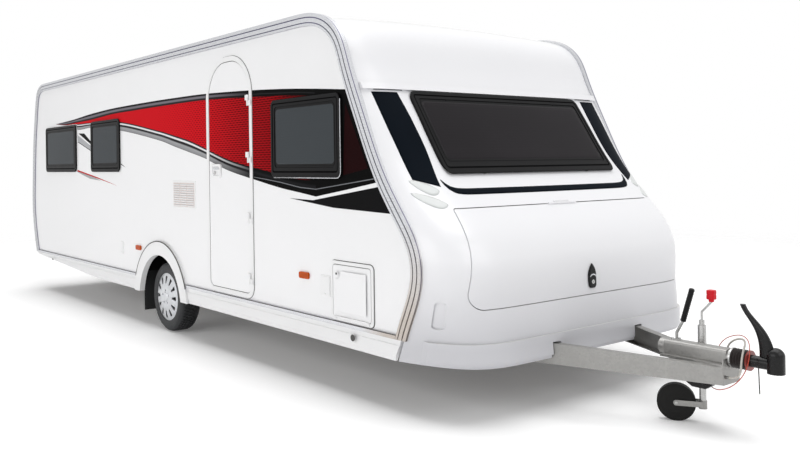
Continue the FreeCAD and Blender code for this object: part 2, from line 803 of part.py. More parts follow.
def build_wheel():
    """Right-hand tyre, rim with its brake drum, and wheel cover."""
    outer, inner = -tyre_outer_face, -tyre_outer_face + tyre_width
    middle = (outer + inner) / 2
    bead = (tyre_width - tread_corner * 2) / 2
    tyre = revolve_y([
        (rim_radius + seat_gap, middle - bead),
        (rim_radius + tread_corner, outer + rim_skin),
        (tyre_radius - tread_corner * 2, outer),
        (tyre_radius, outer + tread_corner),
        (tyre_radius, inner - tread_corner),
        (tyre_radius - tread_corner * 2, inner),
        (rim_radius + tread_corner, inner - rim_skin),
        (rim_radius + seat_gap, middle + bead),
    ], axle_place, tyre_radius)
    disc = middle - rim_skin
    drum_face = disc + rim_skin
    rim = revolve_y([
        (stub_radius + seat_gap, disc),
        (rim_radius - rim_skin, disc),
        (rim_radius - rim_skin, middle - bead),
        (rim_radius, middle - bead),
        (rim_radius, middle + bead),
        (rim_radius - rim_skin, middle + bead),
        (rim_radius - rim_skin, drum_face),
        (drum_radius, drum_face),
        (drum_radius, drum_face + drum_width),
        (drum_radius - rim_skin, drum_face + drum_width),
        (drum_radius - rim_skin, drum_face + rim_skin),
        (stub_radius + seat_gap, drum_face + rim_skin),
    ], axle_place, tyre_radius)
    wall_slope = (tyre_width / 2 - rim_skin - bead) / tread_corner
    cover_back = middle - bead - (cover_radius - rim_radius) * wall_slope - seat_gap
    spigot = rim_radius - rim_skin - seat_gap
    cover = revolve_y([
        (0, cover_back - cover_dish - cover_cap_proud),
        (cover_cap_radius, cover_back - cover_dish - cover_cap_proud),
        (cover_cap_radius + cover_cap_proud, cover_back - cover_dish),
        (cover_slot_start - cover_dish, cover_back - cover_dish),
        (cover_radius - cover_dish, cover_back - cover_dish / 2),
        (cover_radius, cover_back - rim_skin / 2),
        (cover_radius, cover_back),
        (spigot, cover_back),
        (spigot, middle - bead + rim_skin),
        (spigot - rim_skin, middle - bead + rim_skin),
        (spigot - rim_skin, cover_back),
        (0, cover_back),
    ], axle_place, tyre_radius)
    cover = cover.cut(cover_cuts(cover_back))
    for node, solid in (("tyre", tyre), ("wheel", rim), ("wheel", cover)):
        keep(node + "_right", solid)
        keep(node + "_left", mirrored(solid))


def cover_cuts(back):
    """Ring of tapered slots between the cover's spokes, and the pockets over the wheel nuts."""
    axle = Vector(axle_place, 0, tyre_radius)
    front = back - cover_dish - cover_cap_proud - overrun
    inner, outer = cover_slot_inner_width / 2, cover_slot_outer_width / 2
    corners = [(-inner, cover_slot_start), (inner, cover_slot_start), (outer, cover_slot_end),
               (-outer, cover_slot_end)]
    wire = Part.makePolygon([axle + Vector(u, front, v) for u, v in corners + corners[:1]])
    slot = Part.Face(wire).extrude(Vector(0, back + overrun - front, 0))
    slot = slot.makeFillet(cover_slot_radius, [edge for edge in slot.Edges if edge.BoundBox.YLength > overrun])
    cuts = []
    for index in range(cover_slots):
        cuts.append(slot.copy())
        cuts[-1].rotate(axle, Vector(0, 1, 0), 360 / cover_slots * index)
    face = back - cover_dish
    for index in range(cover_nuts):
        turn = 2 * math.pi * index / cover_nuts
        place = axle + Vector(math.sin(turn), 0, math.cos(turn)) * cover_nut_circle
        cuts.append(rod(place + Vector(0, face - overrun, 0), place + Vector(0, face + cover_nut_depth, 0),
                        cover_nut_radius))
    return cuts


def build_axle():
    """Rubber-sprung axle: cross tube under the rails, trailing arms, backplates and stubs."""
    tube_x = axle_place + arm_length
    tube_top = wall_bottom - rail_height
    half = axle_tube_size / 2
    arm_inner = inner_half - wheel_box_depth - arm_thickness
    tube = box(tube_x - half, tube_x + half, -arm_inner, arm_inner, tube_top - axle_tube_size, tube_top)
    bore = box(tube_x - half + axle_tube_skin, tube_x + half - axle_tube_skin, -arm_inner - overrun,
               arm_inner + overrun, tube_top - axle_tube_size + axle_tube_skin, tube_top - axle_tube_skin)
    keep("axle_tube", tube.cut(bore))
    start = Vector(tube_x, -arm_inner, tube_top - half)
    end = Vector(axle_place, -arm_inner, tyre_radius)
    side = Vector(0, -arm_thickness, 0)
    arm = rod(start, start + side, arm_width / 2 + axle_tube_skin).fuse(rod(end, end + side, arm_width / 2))
    along = (end - start).normalize()
    wide = Vector(-along.z, 0, along.x) * (arm_width / 2)
    bar = Part.Face(Part.makePolygon([start - wide, end - wide, end + wide, start + wide, start - wide]))
    arm = arm.fuse(bar.extrude(side))
    outer = -tyre_outer_face + tyre_width / 2 + drum_width
    plate_face = outer + drum_gap
    stub_end = Vector(axle_place, -tyre_outer_face + tyre_width / 2 - rim_skin, tyre_radius)
    plate = rod(Vector(axle_place, plate_face, tyre_radius),
                Vector(axle_place, plate_face + backplate_thickness, tyre_radius), backplate_radius)
    arm = arm.fuse([plate, rod(end, stub_end, stub_radius)]).removeSplitter()
    keep("swing_arms", arm, mirrored(arm))


def leg_bar(near, deep, shrink):
    """Right-hand leg of the A-frame, as a tapered bar between two distances from its outer face."""
    start = Vector(rail_bend, -rail_offset, 0)
    end = Vector(leg_front, -leg_front_offset - rail_flange, 0)
    inward = Vector(start.y - end.y, end.x - start.x, 0).normalize()
    near, deep = inward * near, inward * deep
    ends = []
    for place, low, high in ((start, wall_bottom - rail_height, wall_bottom),
                             (end, leg_front_bottom, leg_front_top)):
        low, high = Vector(0, 0, low + shrink), Vector(0, 0, high - shrink)
        corners = [place + near + low, place + deep + low, place + deep + high, place + near + high]
        ends.append(Part.makePolygon(corners + corners[:1]))
    return Part.makeLoft(ends, True, True)


def build_chassis():
    """Two pressed rails that bend in to form the A-frame, with cross members between them."""
    top, bottom = wall_bottom, wall_bottom - rail_height
    y0 = -rail_offset
    rail = box(rail_rear, rail_bend, y0, y0 + rail_flange, bottom, top)
    rail = rail.cut(box(rail_rear - overrun, rail_bend, y0 + rail_skin, y0 + rail_flange + overrun,
                        bottom + rail_skin, top - rail_skin))
    holes = []
    count = int((rail_bend - rail_rear) / rail_hole_pitch)
    for index in range(1, count):
        x = rail_rear + index * rail_hole_pitch
        holes.append(rod(Vector(x, y0 - overrun, (top + bottom) / 2),
                         Vector(x, y0 + rail_skin + rail_skin, (top + bottom) / 2), rail_hole_radius))
    rail = rail.cut(holes)
    leg = leg_bar(0, rail_flange, 0).cut(leg_bar(rail_skin, rail_flange + overrun, rail_skin))
    side = rail.fuse(leg).removeSplitter()
    keep("chassis_rail_right", side)
    keep("chassis_rail_left", mirrored(side))
    reach = rail_offset - rail_flange
    for x in cross_places:
        beam = box(x, x + cross_width, -reach, reach, top - rail_skin - cross_height, top - rail_skin)
        hollow = box(x + rail_skin, x + cross_width + overrun, -reach - overrun, reach + overrun,
                     top - cross_height, top - rail_skin * 2)
        keep("cross_members", beam.cut(hollow))


def gland(point, toward, radius, length):
    """Short sleeve behind the end of a cord, in line with its first run."""
    return rod(point - (toward - point).normalize() * length, point, radius)


def build_coupling():
    """Overrun housing, bellows, ball coupling with its stabiliser handle, and handbrake lever."""
    z = coupling_height
    housing = rod(Vector(housing_rear, 0, z), Vector(housing_front, 0, z), housing_radius)
    base_rear, base_front = housing_rear + overrun, leg_front
    half = leg_front_offset + rail_flange
    base = box(base_rear, base_front, -half, half, leg_front_top, leg_front_top + housing_base)
    cheek = plate_x(-housing_radius, housing_radius, leg_front_top, z + housing_radius, housing_corner,
                    base_rear, base_front)
    tube_hole = Part.makeCylinder(jockey_tube_radius + gap, far, Vector(jockey_place, jockey_offset, 0))
    plate = box(leg_front, leg_front + rail_skin * 2, -half, half, leg_front_bottom, z)
    glands = [
        gland(cable_points[0], cable_points[1], cable_gland_radius, cable_gland_length),
        gland(cable_points[-1], cable_points[-2], cable_gland_radius, cable_gland_length),
        gland(breakaway_points[0], breakaway_points[1], hook_radius, hook_length),
    ]
    housing = housing.fuse([base.cut(tube_hole), cheek, plate] + glands)
    housing = housing.cut(shapes["chassis_rail_right"] + shapes["chassis_rail_left"])
    housing = housing.cut(rod(Vector(housing_rear + overrun, 0, z), Vector(housing_front + overrun, 0, z),
                              housing_bore + seat_gap))
    keep("overrun_housing", housing.removeSplitter())
    front = housing_front + bellows_length
    outline = [(0, housing_rear + overrun * 2), (housing_bore, housing_rear + overrun * 2),
               (housing_bore, housing_front + seat_gap)]
    pitch = bellows_length / bellows_folds
    for index in range(bellows_folds):
        x = housing_front + seat_gap + index * pitch
        valley = bellows_radius - bellows_fold_depth
        outline += [(valley, x), (bellows_radius, x + pitch / 2)]
    outline += [(bellows_radius - bellows_fold_depth, front), (0, front)]
    wire = Part.makePolygon([Vector(x, 0, z + r) for r, x in outline + outline[:1]])
    keep("drawshaft_bellows", Part.Face(wire).revolve(Vector(0, 0, z), Vector(1, 0, 0), 360))
    socket_x = front + head_length - head_radius
    low = z - head_drop
    dome_height = low + head_height - head_radius
    head = Part.makeCylinder(head_radius, dome_height - low, Vector(socket_x, 0, low))
    head = head.fuse([Part.makeSphere(head_radius, Vector(socket_x, 0, dome_height)),
                      rod(Vector(front, 0, z), Vector(socket_x, 0, z), head_neck_radius)])
    throat = Part.makeCylinder(ball_radius, socket_throat + overrun, Vector(socket_x, 0, low - overrun))
    dome = Part.makeSphere(ball_radius, Vector(socket_x, 0, low + socket_throat))
    keep("coupling_head", head.cut([throat, dome]).removeSplitter())
    keep("coupling_handle", build_handle(socket_x, z + head_neck_radius).cut(head))
    base_z = leg_front_top + housing_base
    y = lever_offset
    foot = base_rear + lever_radius * 2
    knees = [
        Vector(foot, y, base_z),
        Vector(foot, y, base_z + lever_rise),
        Vector(foot + lever_lean, y, base_z + lever_bend_rise),
        Vector(foot + grip_lean, y, base_z + grip_rise),
    ]
    lever = rod(knees[0], knees[1], lever_radius)
    for start, end, radius in ((knees[1], knees[2], lever_radius), (knees[2], knees[3], grip_radius)):
        lever = lever.fuse([Part.makeSphere(lever_radius, start), rod(start, end, radius)])
    keep("handbrake_lever", lever.removeSplitter())


def build_handle(socket_x, foot_height):
    """Tapered lever of the stabiliser, lofted from its broad foot to its round top."""
    rings = []
    for share, length_share, lean_share in handle_shares:
        length = handle_foot_length + (handle_top_length - handle_foot_length) * length_share
        middle = socket_x - head_radius - handle_lean * lean_share
        z = foot_height + handle_rise * share
        wide = handle_thickness - (handle_thickness - handle_top_length) * length_share
        ellipse = Part.Ellipse(Vector(middle, 0, z), max(length, wide + seat_gap) / 2, wide / 2)
        rings.append(Part.Wire(ellipse.toShape()))
    return Part.makeLoft(rings, True, False)


def build_jockey():
    """Jockey wheel: clamp, outer tube with crank, telescoping stem, swivelling fork and wheel."""
    place = Vector(jockey_place, jockey_offset, 0)
    up = Vector(0, 0, 1)
    clamp_low = jockey_tube_bottom + gap * 2
    ring = Part.makeCylinder(jockey_tube_radius + clamp_wall, clamp_height, place + up * clamp_low)
    post = box(jockey_place - jockey_tube_radius, jockey_place + jockey_tube_radius, 0, jockey_offset,
               clamp_low, clamp_low + clamp_height)
    post = post.fuse(box(jockey_place - jockey_tube_radius, jockey_place + jockey_tube_radius, 0,
                         housing_radius, clamp_low, leg_front_top))
    hole = Part.makeCylinder(jockey_tube_radius + seat_gap, far, place - up * clamp_low)
    keep("jockey_clamp", ring.fuse(post).cut(hole).removeSplitter())
    tall = jockey_tube_top - jockey_tube_bottom
    outer = Part.makeCylinder(jockey_tube_radius, tall, place + up * jockey_tube_bottom)
    bore = Part.makeCylinder(jockey_tube_radius - jockey_tube_skin, tall - clamp_wall,
                             place + up * jockey_tube_bottom)
    keep("jockey_tube", outer.cut(bore))
    top = place + up * jockey_tube_top
    bend = top + up * (crank_nut_height + crank_rise)
    end = bend + Vector(crank_throw, 0, crank_slope_rise)
    knob = end + up * knob_collar_length
    crank = rod(top, bend, crank_radius).fuse([
        rod(top, top + up * crank_nut_height, crank_nut_radius),
        Part.makeSphere(crank_radius, bend), rod(bend, end, crank_radius), Part.makeSphere(crank_radius, end),
        rod(end, knob, knob_collar_radius),
        plate_z(knob.x - knob_radius, knob.x + knob_radius, knob.y - knob_radius, knob.y + knob_radius,
                knob_radius / 2, knob.z, knob.z + knob_length),
    ])
    keep("jockey_crank", crank.removeSplitter())
    stem = Part.makeCylinder(stem_radius, stem_top - stem_bottom, place + up * stem_bottom)
    collar = Part.makeCylinder(jockey_tube_radius - jockey_tube_skin - seat_gap, stem_collar,
                               place + up * (stem_top - stem_collar))
    keep("jockey_stem", stem.fuse(collar))
    turn = math.radians(jockey_trail_angle)
    trail = Vector(math.cos(turn), math.sin(turn), 0)
    side = Vector(-trail.y, trail.x, 0)
    axle = place + trail * jockey_trail + up * jockey_wheel_radius
    sleeve = Part.makeCylinder(jockey_tube_radius, fork_sleeve_height,
                               place + up * (stem_bottom - seat_gap - fork_sleeve_height))
    spread = jockey_wheel_width / 2 + gap
    parts = []
    for sign in (-1, 1):
        near = place + side * sign * spread + up * (jockey_wheel_radius - fork_bar / 2)
        low = axle + side * sign * spread - up * (fork_bar / 2)
        corners = [near, low, low + up * fork_bar, near + up * fork_bar]
        bar = Part.Face(Part.makePolygon(corners + corners[:1])).extrude(side * sign * fork_plate)
        parts += [bar, rod(axle + side * sign * spread, axle + side * sign * (spread + fork_plate), fork_bar / 2)]
    back = place - side * (spread + fork_plate) + up * (jockey_wheel_radius - fork_bar / 2)
    corners = [back, back + side * (spread + fork_plate) * 2]
    corners += [corners[1] + trail * fork_plate, corners[0] + trail * fork_plate]
    yoke = Part.Face(Part.makePolygon(corners + corners[:1])).extrude(up * fork_bar)
    pin = rod(axle - side * (spread + seat_gap), axle + side * (spread + seat_gap), crank_radius)
    fork = sleeve.fuse(parts + [yoke, pin]).removeSplitter()
    keep("jockey_fork", fork)
    half = jockey_wheel_width / 2
    wheel = rod(axle - side * half, axle + side * half, jockey_wheel_radius)
    wheel = wheel.cut(rod(axle - side * far, axle + side * far, crank_radius + seat_gap))
    keep("jockey_wheel", wheel)


def build_steadies():
    """Corner steadies folded up under the floor, each on its own bracket."""
    for end_name, x, way in (("rear", steady_rear_place, 1), ("front", steady_front_place, -1)):
        for side_name, side in (("right", -1), ("left", 1)):
            y = side * steady_offset
            z = steady_pivot_height
            wide = steady_width / 2
            leg = box(min(x - way * steady_height, x + way * steady_length),
                      max(x - way * steady_height, x + way * steady_length),
                      y - wide, y + wide, z - steady_height / 2, z + steady_height / 2)
            hollow = box(min(x - way * far, x + way * (steady_length - steady_skin)),
                         max(x - way * far, x + way * (steady_length - steady_skin)),
                         y - wide + steady_skin, y + wide - steady_skin,
                         z - steady_height / 2 + steady_skin, z + far)
            leg = leg.cut(hollow)
            foot_x = x + way * steady_length
            foot = box(min(foot_x, foot_x + way * steady_skin), max(foot_x, foot_x + way * steady_skin),
                       y - steady_foot / 2, y + steady_foot / 2, z - steady_foot / 2, z + steady_foot / 2)
            eye = rod(Vector(x, y - wide - seat_gap, z), Vector(x, y + wide + seat_gap, z),
                      steady_pin_radius + seat_gap)
            keep("steady_" + end_name + "_" + side_name, leg.fuse(foot).cut(eye).removeSplitter())
            cheeks = []
            for sign in (-1, 1):
                inner = y + sign * (wide + gap)
                outer = inner + sign * steady_skin
                cheeks.append(box(x - steady_height, x + steady_height, min(inner, outer), max(inner, outer),
                                  z - steady_height / 2, wall_bottom))
            pin = rod(Vector(x, y - wide - gap - steady_skin, z), Vector(x, y + wide + gap + steady_skin, z),
                      steady_pin_radius)
            keep("steady_brackets", cheeks[0].fuse([cheeks[1], pin]).removeSplitter())


def build_door():
    y0 = -half_width - door_frame_proud
    x0, x1 = door_rear, door_rear + door_width
    width = door_frame_width
    band = plate_y(x0 - width, x1 + width, door_sill - width, door_top + width, door_bottom_radius + width,
                   y0, -half_width, door_top_radius + width)
    hole = plate_y(x0, x1, door_sill, door_top, door_bottom_radius, y0 - overrun, overrun, door_top_radius)
    leaf_y = -half_width - door_proud
    leaf = plate_y(x0 + gap, x1 - gap, door_sill + gap, door_top - gap, door_bottom_radius - gap, leaf_y,
                   -inner_half, door_top_radius - gap)
    hinge_x, hinge_y = door_hinge()
    upper, lower = [], []
    for z in hinge_heights:
        half = hinge_length / 2
        upper.append(Part.makeCylinder(hinge_radius, half - seat_gap, Vector(hinge_x, hinge_y, z + seat_gap)))
        upper.append(box(hinge_x - half, hinge_x, hinge_y, leaf_y, z + seat_gap, z + half))
        lower.append(Part.makeCylinder(hinge_radius, half, Vector(hinge_x, hinge_y, z - half)))
        lower.append(box(hinge_x, hinge_x + half, hinge_y, y0, z - half, z))
    keep("door_frame", band.cut(hole).fuse(lower).removeSplitter())
    keep("door_leaf", leaf.fuse(upper).removeSplitter())
    handle_x = x0 + door_handle_place
    plate = plate_y(handle_x, handle_x + door_handle_length, door_handle_bottom, door_handle_top,
                    door_handle_radius, leaf_y - door_handle_proud, leaf_y)
    keep("door_handle", plate)


def door_hinge():
    return door_rear + door_width - gap, -half_width - door_frame_proud - hinge_radius - seat_gap


def build_windows():
    for windows, side in ((right_windows, -1), (left_windows, 1)):
        for rear, length, sill, top in windows:
            face = -half_width
            frame = plate_y(rear, rear + length, sill, top, window_radius + frame_width, face - frame_proud, face)
            hole = plate_y(rear + frame_width, rear + length - frame_width, sill + frame_width,
                           top - frame_width, window_radius, face - far, overrun)
            frame = frame.cut(hole)
            inner = frame_width + seat_gap
            pane = plate_y(rear + gap * 2, rear + length - gap * 2, sill + gap * 2, top - gap * 2,
                           window_radius + frame_width - gap * 2, face - frame_proud - pane_thickness,
                           face - frame_proud)
            blind = plate_y(rear + inner, rear + length - inner, sill + inner, top - inner, window_radius - seat_gap,
                            -inner_half - wall_thickness / 2, -inner_half - wall_thickness / 2 + blind_thickness)
            for node, solid in (("window_frames", frame), ("window_panes", pane), ("window_blinds", blind)):
                keep(node, solid if side < 0 else mirrored(solid))
    ends = (
        (nose_shell, nose_wall, front_window_half, front_window_sill, front_window_top, nose_start, far),
        (tail_shell, tail_wall, rear_window_half, rear_window_sill, rear_window_top, -far, tail_start),
    )
    for shell, wall, half, sill, top, x0, x1 in ends:
        outer = plate_x(-half, half, sill, top, window_radius + frame_width, x0, x1)
        hole = plate_x(-half + frame_width, half - frame_width, sill + frame_width, top - frame_width,
                       window_radius, x0 - overrun, x1 + overrun)
        inner = frame_width + seat_gap
        inside = plate_x(-half + inner, half - inner, sill + inner, top - inner, window_radius - seat_gap, x0, x1)
        keep("window_frames", shell(frame_proud, -seat_gap).common(outer).cut(hole))
        pane_space = plate_x(-half + gap * 2, half - gap * 2, sill + gap * 2, top - gap * 2,
                             window_radius + frame_width - gap * 2, x0, x1)
        keep("window_panes", shell(pane_proud, -frame_proud - seat_gap).common(pane_space))
        keep("window_blinds", shell(-wall / 2, wall / 2 + blind_thickness).common(inside))


def build_locker_lid():
    lid = nose_shell(gap / 2, nose_wall).common(lid_space(gap))
    hinge_x, hinge_z = lid_hinge()
    reach = lid_hinge_half + seat_gap
    knuckles = []
    for y0, y1 in ((-lid_hinge_half - lid_knuckle, -reach), (reach, lid_hinge_half + lid_knuckle)):
        knuckle = rod(Vector(hinge_x, y0, hinge_z), Vector(hinge_x, y1, hinge_z), lid_hinge_radius)
        leaf = box(hinge_x - lid_hinge_leaf, hinge_x, y0, y1, hinge_z - lid_hinge_radius * 2, hinge_z - seat_gap)
        knuckles.append(knuckle.fuse(leaf).removeSplitter())
    lid = lid.fuse(knuckles)
    pin_space = rod(Vector(hinge_x, -reach, hinge_z), Vector(hinge_x, reach, hinge_z), lid_hinge_radius + seat_gap)
    keep("locker_lid", lid.cut(pin_space).removeSplitter())
    pin = rod(Vector(hinge_x, -lid_hinge_half, hinge_z), Vector(hinge_x, lid_hinge_half, hinge_z), lid_hinge_radius)
    web = box(hinge_x - lid_hinge_leaf, hinge_x, -lid_hinge_half, lid_hinge_half, hinge_z,
              hinge_z + lid_hinge_radius * 2)
    keep("lid_hinge", pin.fuse(web).cut(shapes["front_moulding"][0]))
    z0 = lid_handle_height - lid_handle_tall / 2
    handle_space = plate_x(-lid_handle_width / 2, lid_handle_width / 2, z0, z0 + lid_handle_tall,
                           lid_handle_corner, nose_start, far)
    keep("lid_handle", nose_shell(gap * 3, -gap / 2 - seat_gap).common(handle_space))


def lid_hinge():
    return nose_at(0, lid_top) + lid_hinge_radius + gap / 2, lid_top


def build_hatch():
    x0, x1 = hatch_rear, hatch_rear + hatch_length
    y0 = -half_width - hatch_frame_proud
    width = hatch_frame_width
    band = plate_y(x0 - width, x1 + width, hatch_bottom - width, hatch_top + width, hatch_radius + width / 2,
                   y0, -half_width)
    hole = plate_y(x0, x1, hatch_bottom, hatch_top, hatch_radius, y0 - overrun, overrun)
    leaf = plate_y(x0 + gap, x1 - gap, hatch_bottom + gap, hatch_top - gap, hatch_radius - gap, y0,
                   -inner_half - gap)
    hinge_z, hinge_y = hatch_hinge()
    barrel = rod(Vector(x0 + width * 2, hinge_y, hinge_z), Vector(x1 - width * 2, hinge_y, hinge_z), gap)
    barrel = barrel.fuse(box(x0 + width * 2, x1 - width * 2, hinge_y, y0, hinge_z, hinge_z + gap))
    keep("service_hatch", leaf.fuse(barrel).removeSplitter())
    frame = band.cut(hole)
    for start, end in ((x0 + width, x0 + width * 2 - seat_gap), (x1 - width * 2 + seat_gap, x1 - width)):
        frame = frame.fuse(rod(Vector(start, hinge_y, hinge_z), Vector(end, hinge_y, hinge_z), gap))
        frame = frame.fuse(box(start, end, hinge_y, y0, hinge_z - width, hinge_z))
        frame = frame.fuse(box(start, end, y0, -half_width, hatch_bottom - width, hinge_z - gap))
    keep("hatch_frame", frame.removeSplitter())


def hatch_hinge():
    return hatch_bottom + gap, -half_width - hatch_frame_proud - gap


def build_fittings():
    y0 = -half_width
    vent = plate_y(vent_rear, vent_rear + vent_length, vent_bottom, vent_top, gap * 2, y0 - vent_proud, y0)
    column = (vent_length - frame_width * 2) / vent_columns
    row = (vent_top - vent_bottom - frame_width * 2) / vent_rows
    slots = []
    for i in range(vent_columns):
        for j in range(vent_rows):
            x = vent_rear + frame_width + i * column
            z = vent_bottom + frame_width + j * row
            slots.append(box(x + gap * 2, x + column - gap * 2, y0 - overrun, y0 + overrun, z + gap, z + row - gap))
    keep("wall_vents", vent.cut(slots))
    for x, length, low, high in flaps:
        keep("wall_vents", plate_y(x, x + length, low, high, gap * 2, y0 - flap_proud, y0))
    for x, z in marker_places:
        lamp = plate_y(x, x + marker_length, z - marker_height / 2, z + marker_height / 2, gap * 3,
                       y0 - marker_proud, y0)
        keep("side_markers", lamp, mirrored(lamp))
    half = rooflight_size / 2
    low = wall_top + roof_crown
    for x in rooflight_places:
        keep("rooflights", plate_z(x - half, x + half, -half, half, frame_width, low, low + rooflight_rise))
    low = wall_top + crown_at(roof_vent_offset)
    stack = Part.makeCylinder(roof_vent_radius, roof_vent_rise + overrun,
                              Vector(roof_vent_place, roof_vent_offset, low - overrun))
    keep("rooflights", stack.cut(shapes["roof"][0]).cut(box(-far, far, -far, far, -far, low - gap)))


def build_rear():
    lamp = tail_shell(rear_lamp_proud, -seat_gap).common(
        plate_x(rear_lamp_offset, rear_lamp_offset + rear_lamp_width, rear_lamp_bottom,
                rear_lamp_bottom + rear_lamp_height, frame_width, -far, tail_start))
    keep("rear_lamps", lamp, mirrored(lamp))
    bumper = tail_shell(bumper_proud, -seat_gap).common(
        box(-far, tail_start, -bumper_half, bumper_half, tail_bottom, tail_bottom + bumper_height))
    keep("rear_bumper", bumper)


def cord(points, radius, name):
    """Tube along straight runs joined by tangent arcs; prints the arcs' radii."""
    edges = []
    start = points[0]
    radii = []
    for index in range(1, len(points) - 1):
        corner = points[index]
        before, after = corner - points[index - 1], points[index + 1] - corner
        turn = before.getAngle(after)
        shorter = min(before.Length, after.Length)
        cut = cable_run_share * shorter
        radii.append(cut / math.tan(turn / 2))
        first = corner - before.normalize() * cut
        last = corner + after.normalize() * cut
        middle_way = (last - corner).normalize() + (first - corner).normalize()
        reach = radii[-1] / math.cos(turn / 2) - radii[-1]
        middle = corner + middle_way.normalize() * reach
        edges += [Part.makeLine(start, first), Part.Arc(first, middle, last).toShape()]
        start = last
    edges.append(Part.makeLine(start, points[-1]))
    path = Part.Wire(edges)
    circle = Part.Wire(Part.makeCircle(radius, points[0], points[1] - points[0]))
    tube = path.makePipeShell([circle], True, False)
    print(name, "radii", [round(r) for r in radii], "length", round(path.Length),
          "volume share", round(tube.Volume / (math.pi * radius ** 2 * path.Length), 4))
    return tube


def build_cords():
    keep("electric_cable", cord(cable_points, cable_radius, "electric_cable"))
    keep("breakaway_cable", cord(breakaway_points, breakaway_radius, "breakaway_cable"))


def main():
    build_shell()
    build_trims()
    build_wheel_boxes()
    build_wheel()
    build_axle()
    build_chassis()
    build_coupling()
    build_jockey()
    build_steadies()
    build_door()
    build_windows()
    build_locker_lid()
    build_hatch()
    build_fittings()
    build_rear()
    build_cords()
    os.makedirs("parts", exist_ok=True)
    for node, solids in shapes.items():
        shape = solids[0] if len(solids) == 1 else Part.makeCompound(solids)
        shape = shape.copy()
        shape.translate(Vector(-frame_shift, 0, 0))
        shape.exportStep("parts/" + node + ".step")
        bounds = shape.optimalBoundingBox(False)
        print(node, shape.isValid(), len(shape.Solids), [round(v) for v in
              (bounds.XMin, bounds.XMax, bounds.YMin, bounds.YMax, bounds.ZMin, bounds.ZMax)])


main()
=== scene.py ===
import math

import bmesh
import bpy
from mathutils import Matrix, Vector
from mathutils.bvhtree import BVHTree


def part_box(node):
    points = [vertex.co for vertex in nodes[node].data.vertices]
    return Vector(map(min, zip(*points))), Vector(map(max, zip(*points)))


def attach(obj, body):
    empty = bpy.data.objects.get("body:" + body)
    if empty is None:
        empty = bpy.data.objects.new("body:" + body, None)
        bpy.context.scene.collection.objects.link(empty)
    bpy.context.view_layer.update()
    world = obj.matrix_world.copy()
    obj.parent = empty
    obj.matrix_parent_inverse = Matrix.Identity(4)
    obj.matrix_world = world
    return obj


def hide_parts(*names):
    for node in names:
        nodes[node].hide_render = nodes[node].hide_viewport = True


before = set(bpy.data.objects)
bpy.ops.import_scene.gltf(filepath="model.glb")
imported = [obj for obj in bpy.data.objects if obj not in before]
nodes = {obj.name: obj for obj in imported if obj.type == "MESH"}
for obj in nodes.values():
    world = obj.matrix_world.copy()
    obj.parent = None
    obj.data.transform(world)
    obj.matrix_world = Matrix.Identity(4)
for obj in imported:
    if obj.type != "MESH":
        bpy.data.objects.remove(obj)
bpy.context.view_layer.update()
print("stage: frame loaded,", len(nodes), "nodes")

# Sizes of the body that the pieces below are set out from, in metres.
body = {
    "halfWidth": 1.25,
    "filmLift": 0.0001,
    "filmProud": 0.0006,
}
up, doorSide = Vector((0, 0, 1)), Vector((0, -1, 0))
sides = ((-1, "Right"), (1, "Left"))


# Helpers for meshes.
def addPiece(name, mesh, material, bodyName, smooth=False):
    mesh.name = name
    mesh.materials.append(material)
    for polygon in mesh.polygons:
        polygon.use_smooth = smooth
    piece = bpy.data.objects.new(name, mesh)
    bpy.context.scene.collection.objects.link(piece)
    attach(piece, bodyName)
    return piece


def toMesh(work, recalc=True):
    if recalc:
        bmesh.ops.recalc_face_normals(work, faces=work.faces)
    mesh = bpy.data.meshes.new("shape")
    work.to_mesh(mesh)
    work.free()
    return mesh


def roundedLoop(u0, u1, v0, v1, radius, steps=6):
    # Outline of a rectangle with round corners, anticlockwise in (u, v).
    loop = []
    corners = ((u1 - radius, v0 + radius, -90), (u1 - radius, v1 - radius, 0),
               (u0 + radius, v1 - radius, 90), (u0 + radius, v0 + radius, 180))
    for cu, cv, start in corners:
        for step in range(steps + 1):
            angle = math.radians(start + 90 * step / steps)
            loop.append((cu + radius * math.cos(angle), cv + radius * math.sin(angle)))
    return loop


def stackLoops(work, loops, joined=False):
    # Skins loops of equally many points; the ends are closed flat, or joined to each other as in a ring.
    rings = [[work.verts.new(point) for point in loop] for loop in loops]
    pairs = list(zip(rings, rings[1:]))
    if joined:
        pairs.append((rings[-1], rings[0]))
    for low, high in pairs:
        for index in range(len(low)):
            after = (index + 1) % len(low)
            work.faces.new((low[index], low[after], high[after], high[index]))
    if not joined:
        work.faces.new(list(reversed(rings[0])))
        work.faces.new(rings[-1])


def stackedMesh(loops, joined=False):
    work = bmesh.new()
    stackLoops(work, loops, joined)
    return toMesh(work)


def turnedLoops(profile, centre, axis, across, steps):
    # Rings of (radius, along) points turned about an axis.
    other = axis.cross(across)
    loops = []
    for radius, along in profile:
        ring = []
        for step in range(steps):
            angle = 2 * math.pi * step / steps
            ring.append(centre + axis * along + (across * math.cos(angle) + other * math.sin(angle)) * radius)
        loops.append(ring)
    return loops


def closeSheets(work, sheets):
    # Faces of a closed slab between two sheets of points, each a list of rows of equal length.
    inner, outer = sheets
    lastRow, lastPoint = len(inner) - 1, len(inner[0]) - 1
    quads = []
    for low in range(lastRow):
        for index in range(lastPoint):
            for sheet in sheets:
                quads.append((sheet[low][index], sheet[low][index + 1], sheet[low + 1][index + 1],
                              sheet[low + 1][index]))
        for end in (0, lastPoint):
            quads.append((inner[low][end], inner[low + 1][end], outer[low + 1][end], outer[low][end]))
    for row in (0, lastRow):
        for index in range(lastPoint):
            quads.append((inner[row][index], inner[row][index + 1], outer[row][index + 1], outer[row][index]))
    return [work.faces.new(quad) for quad in quads]


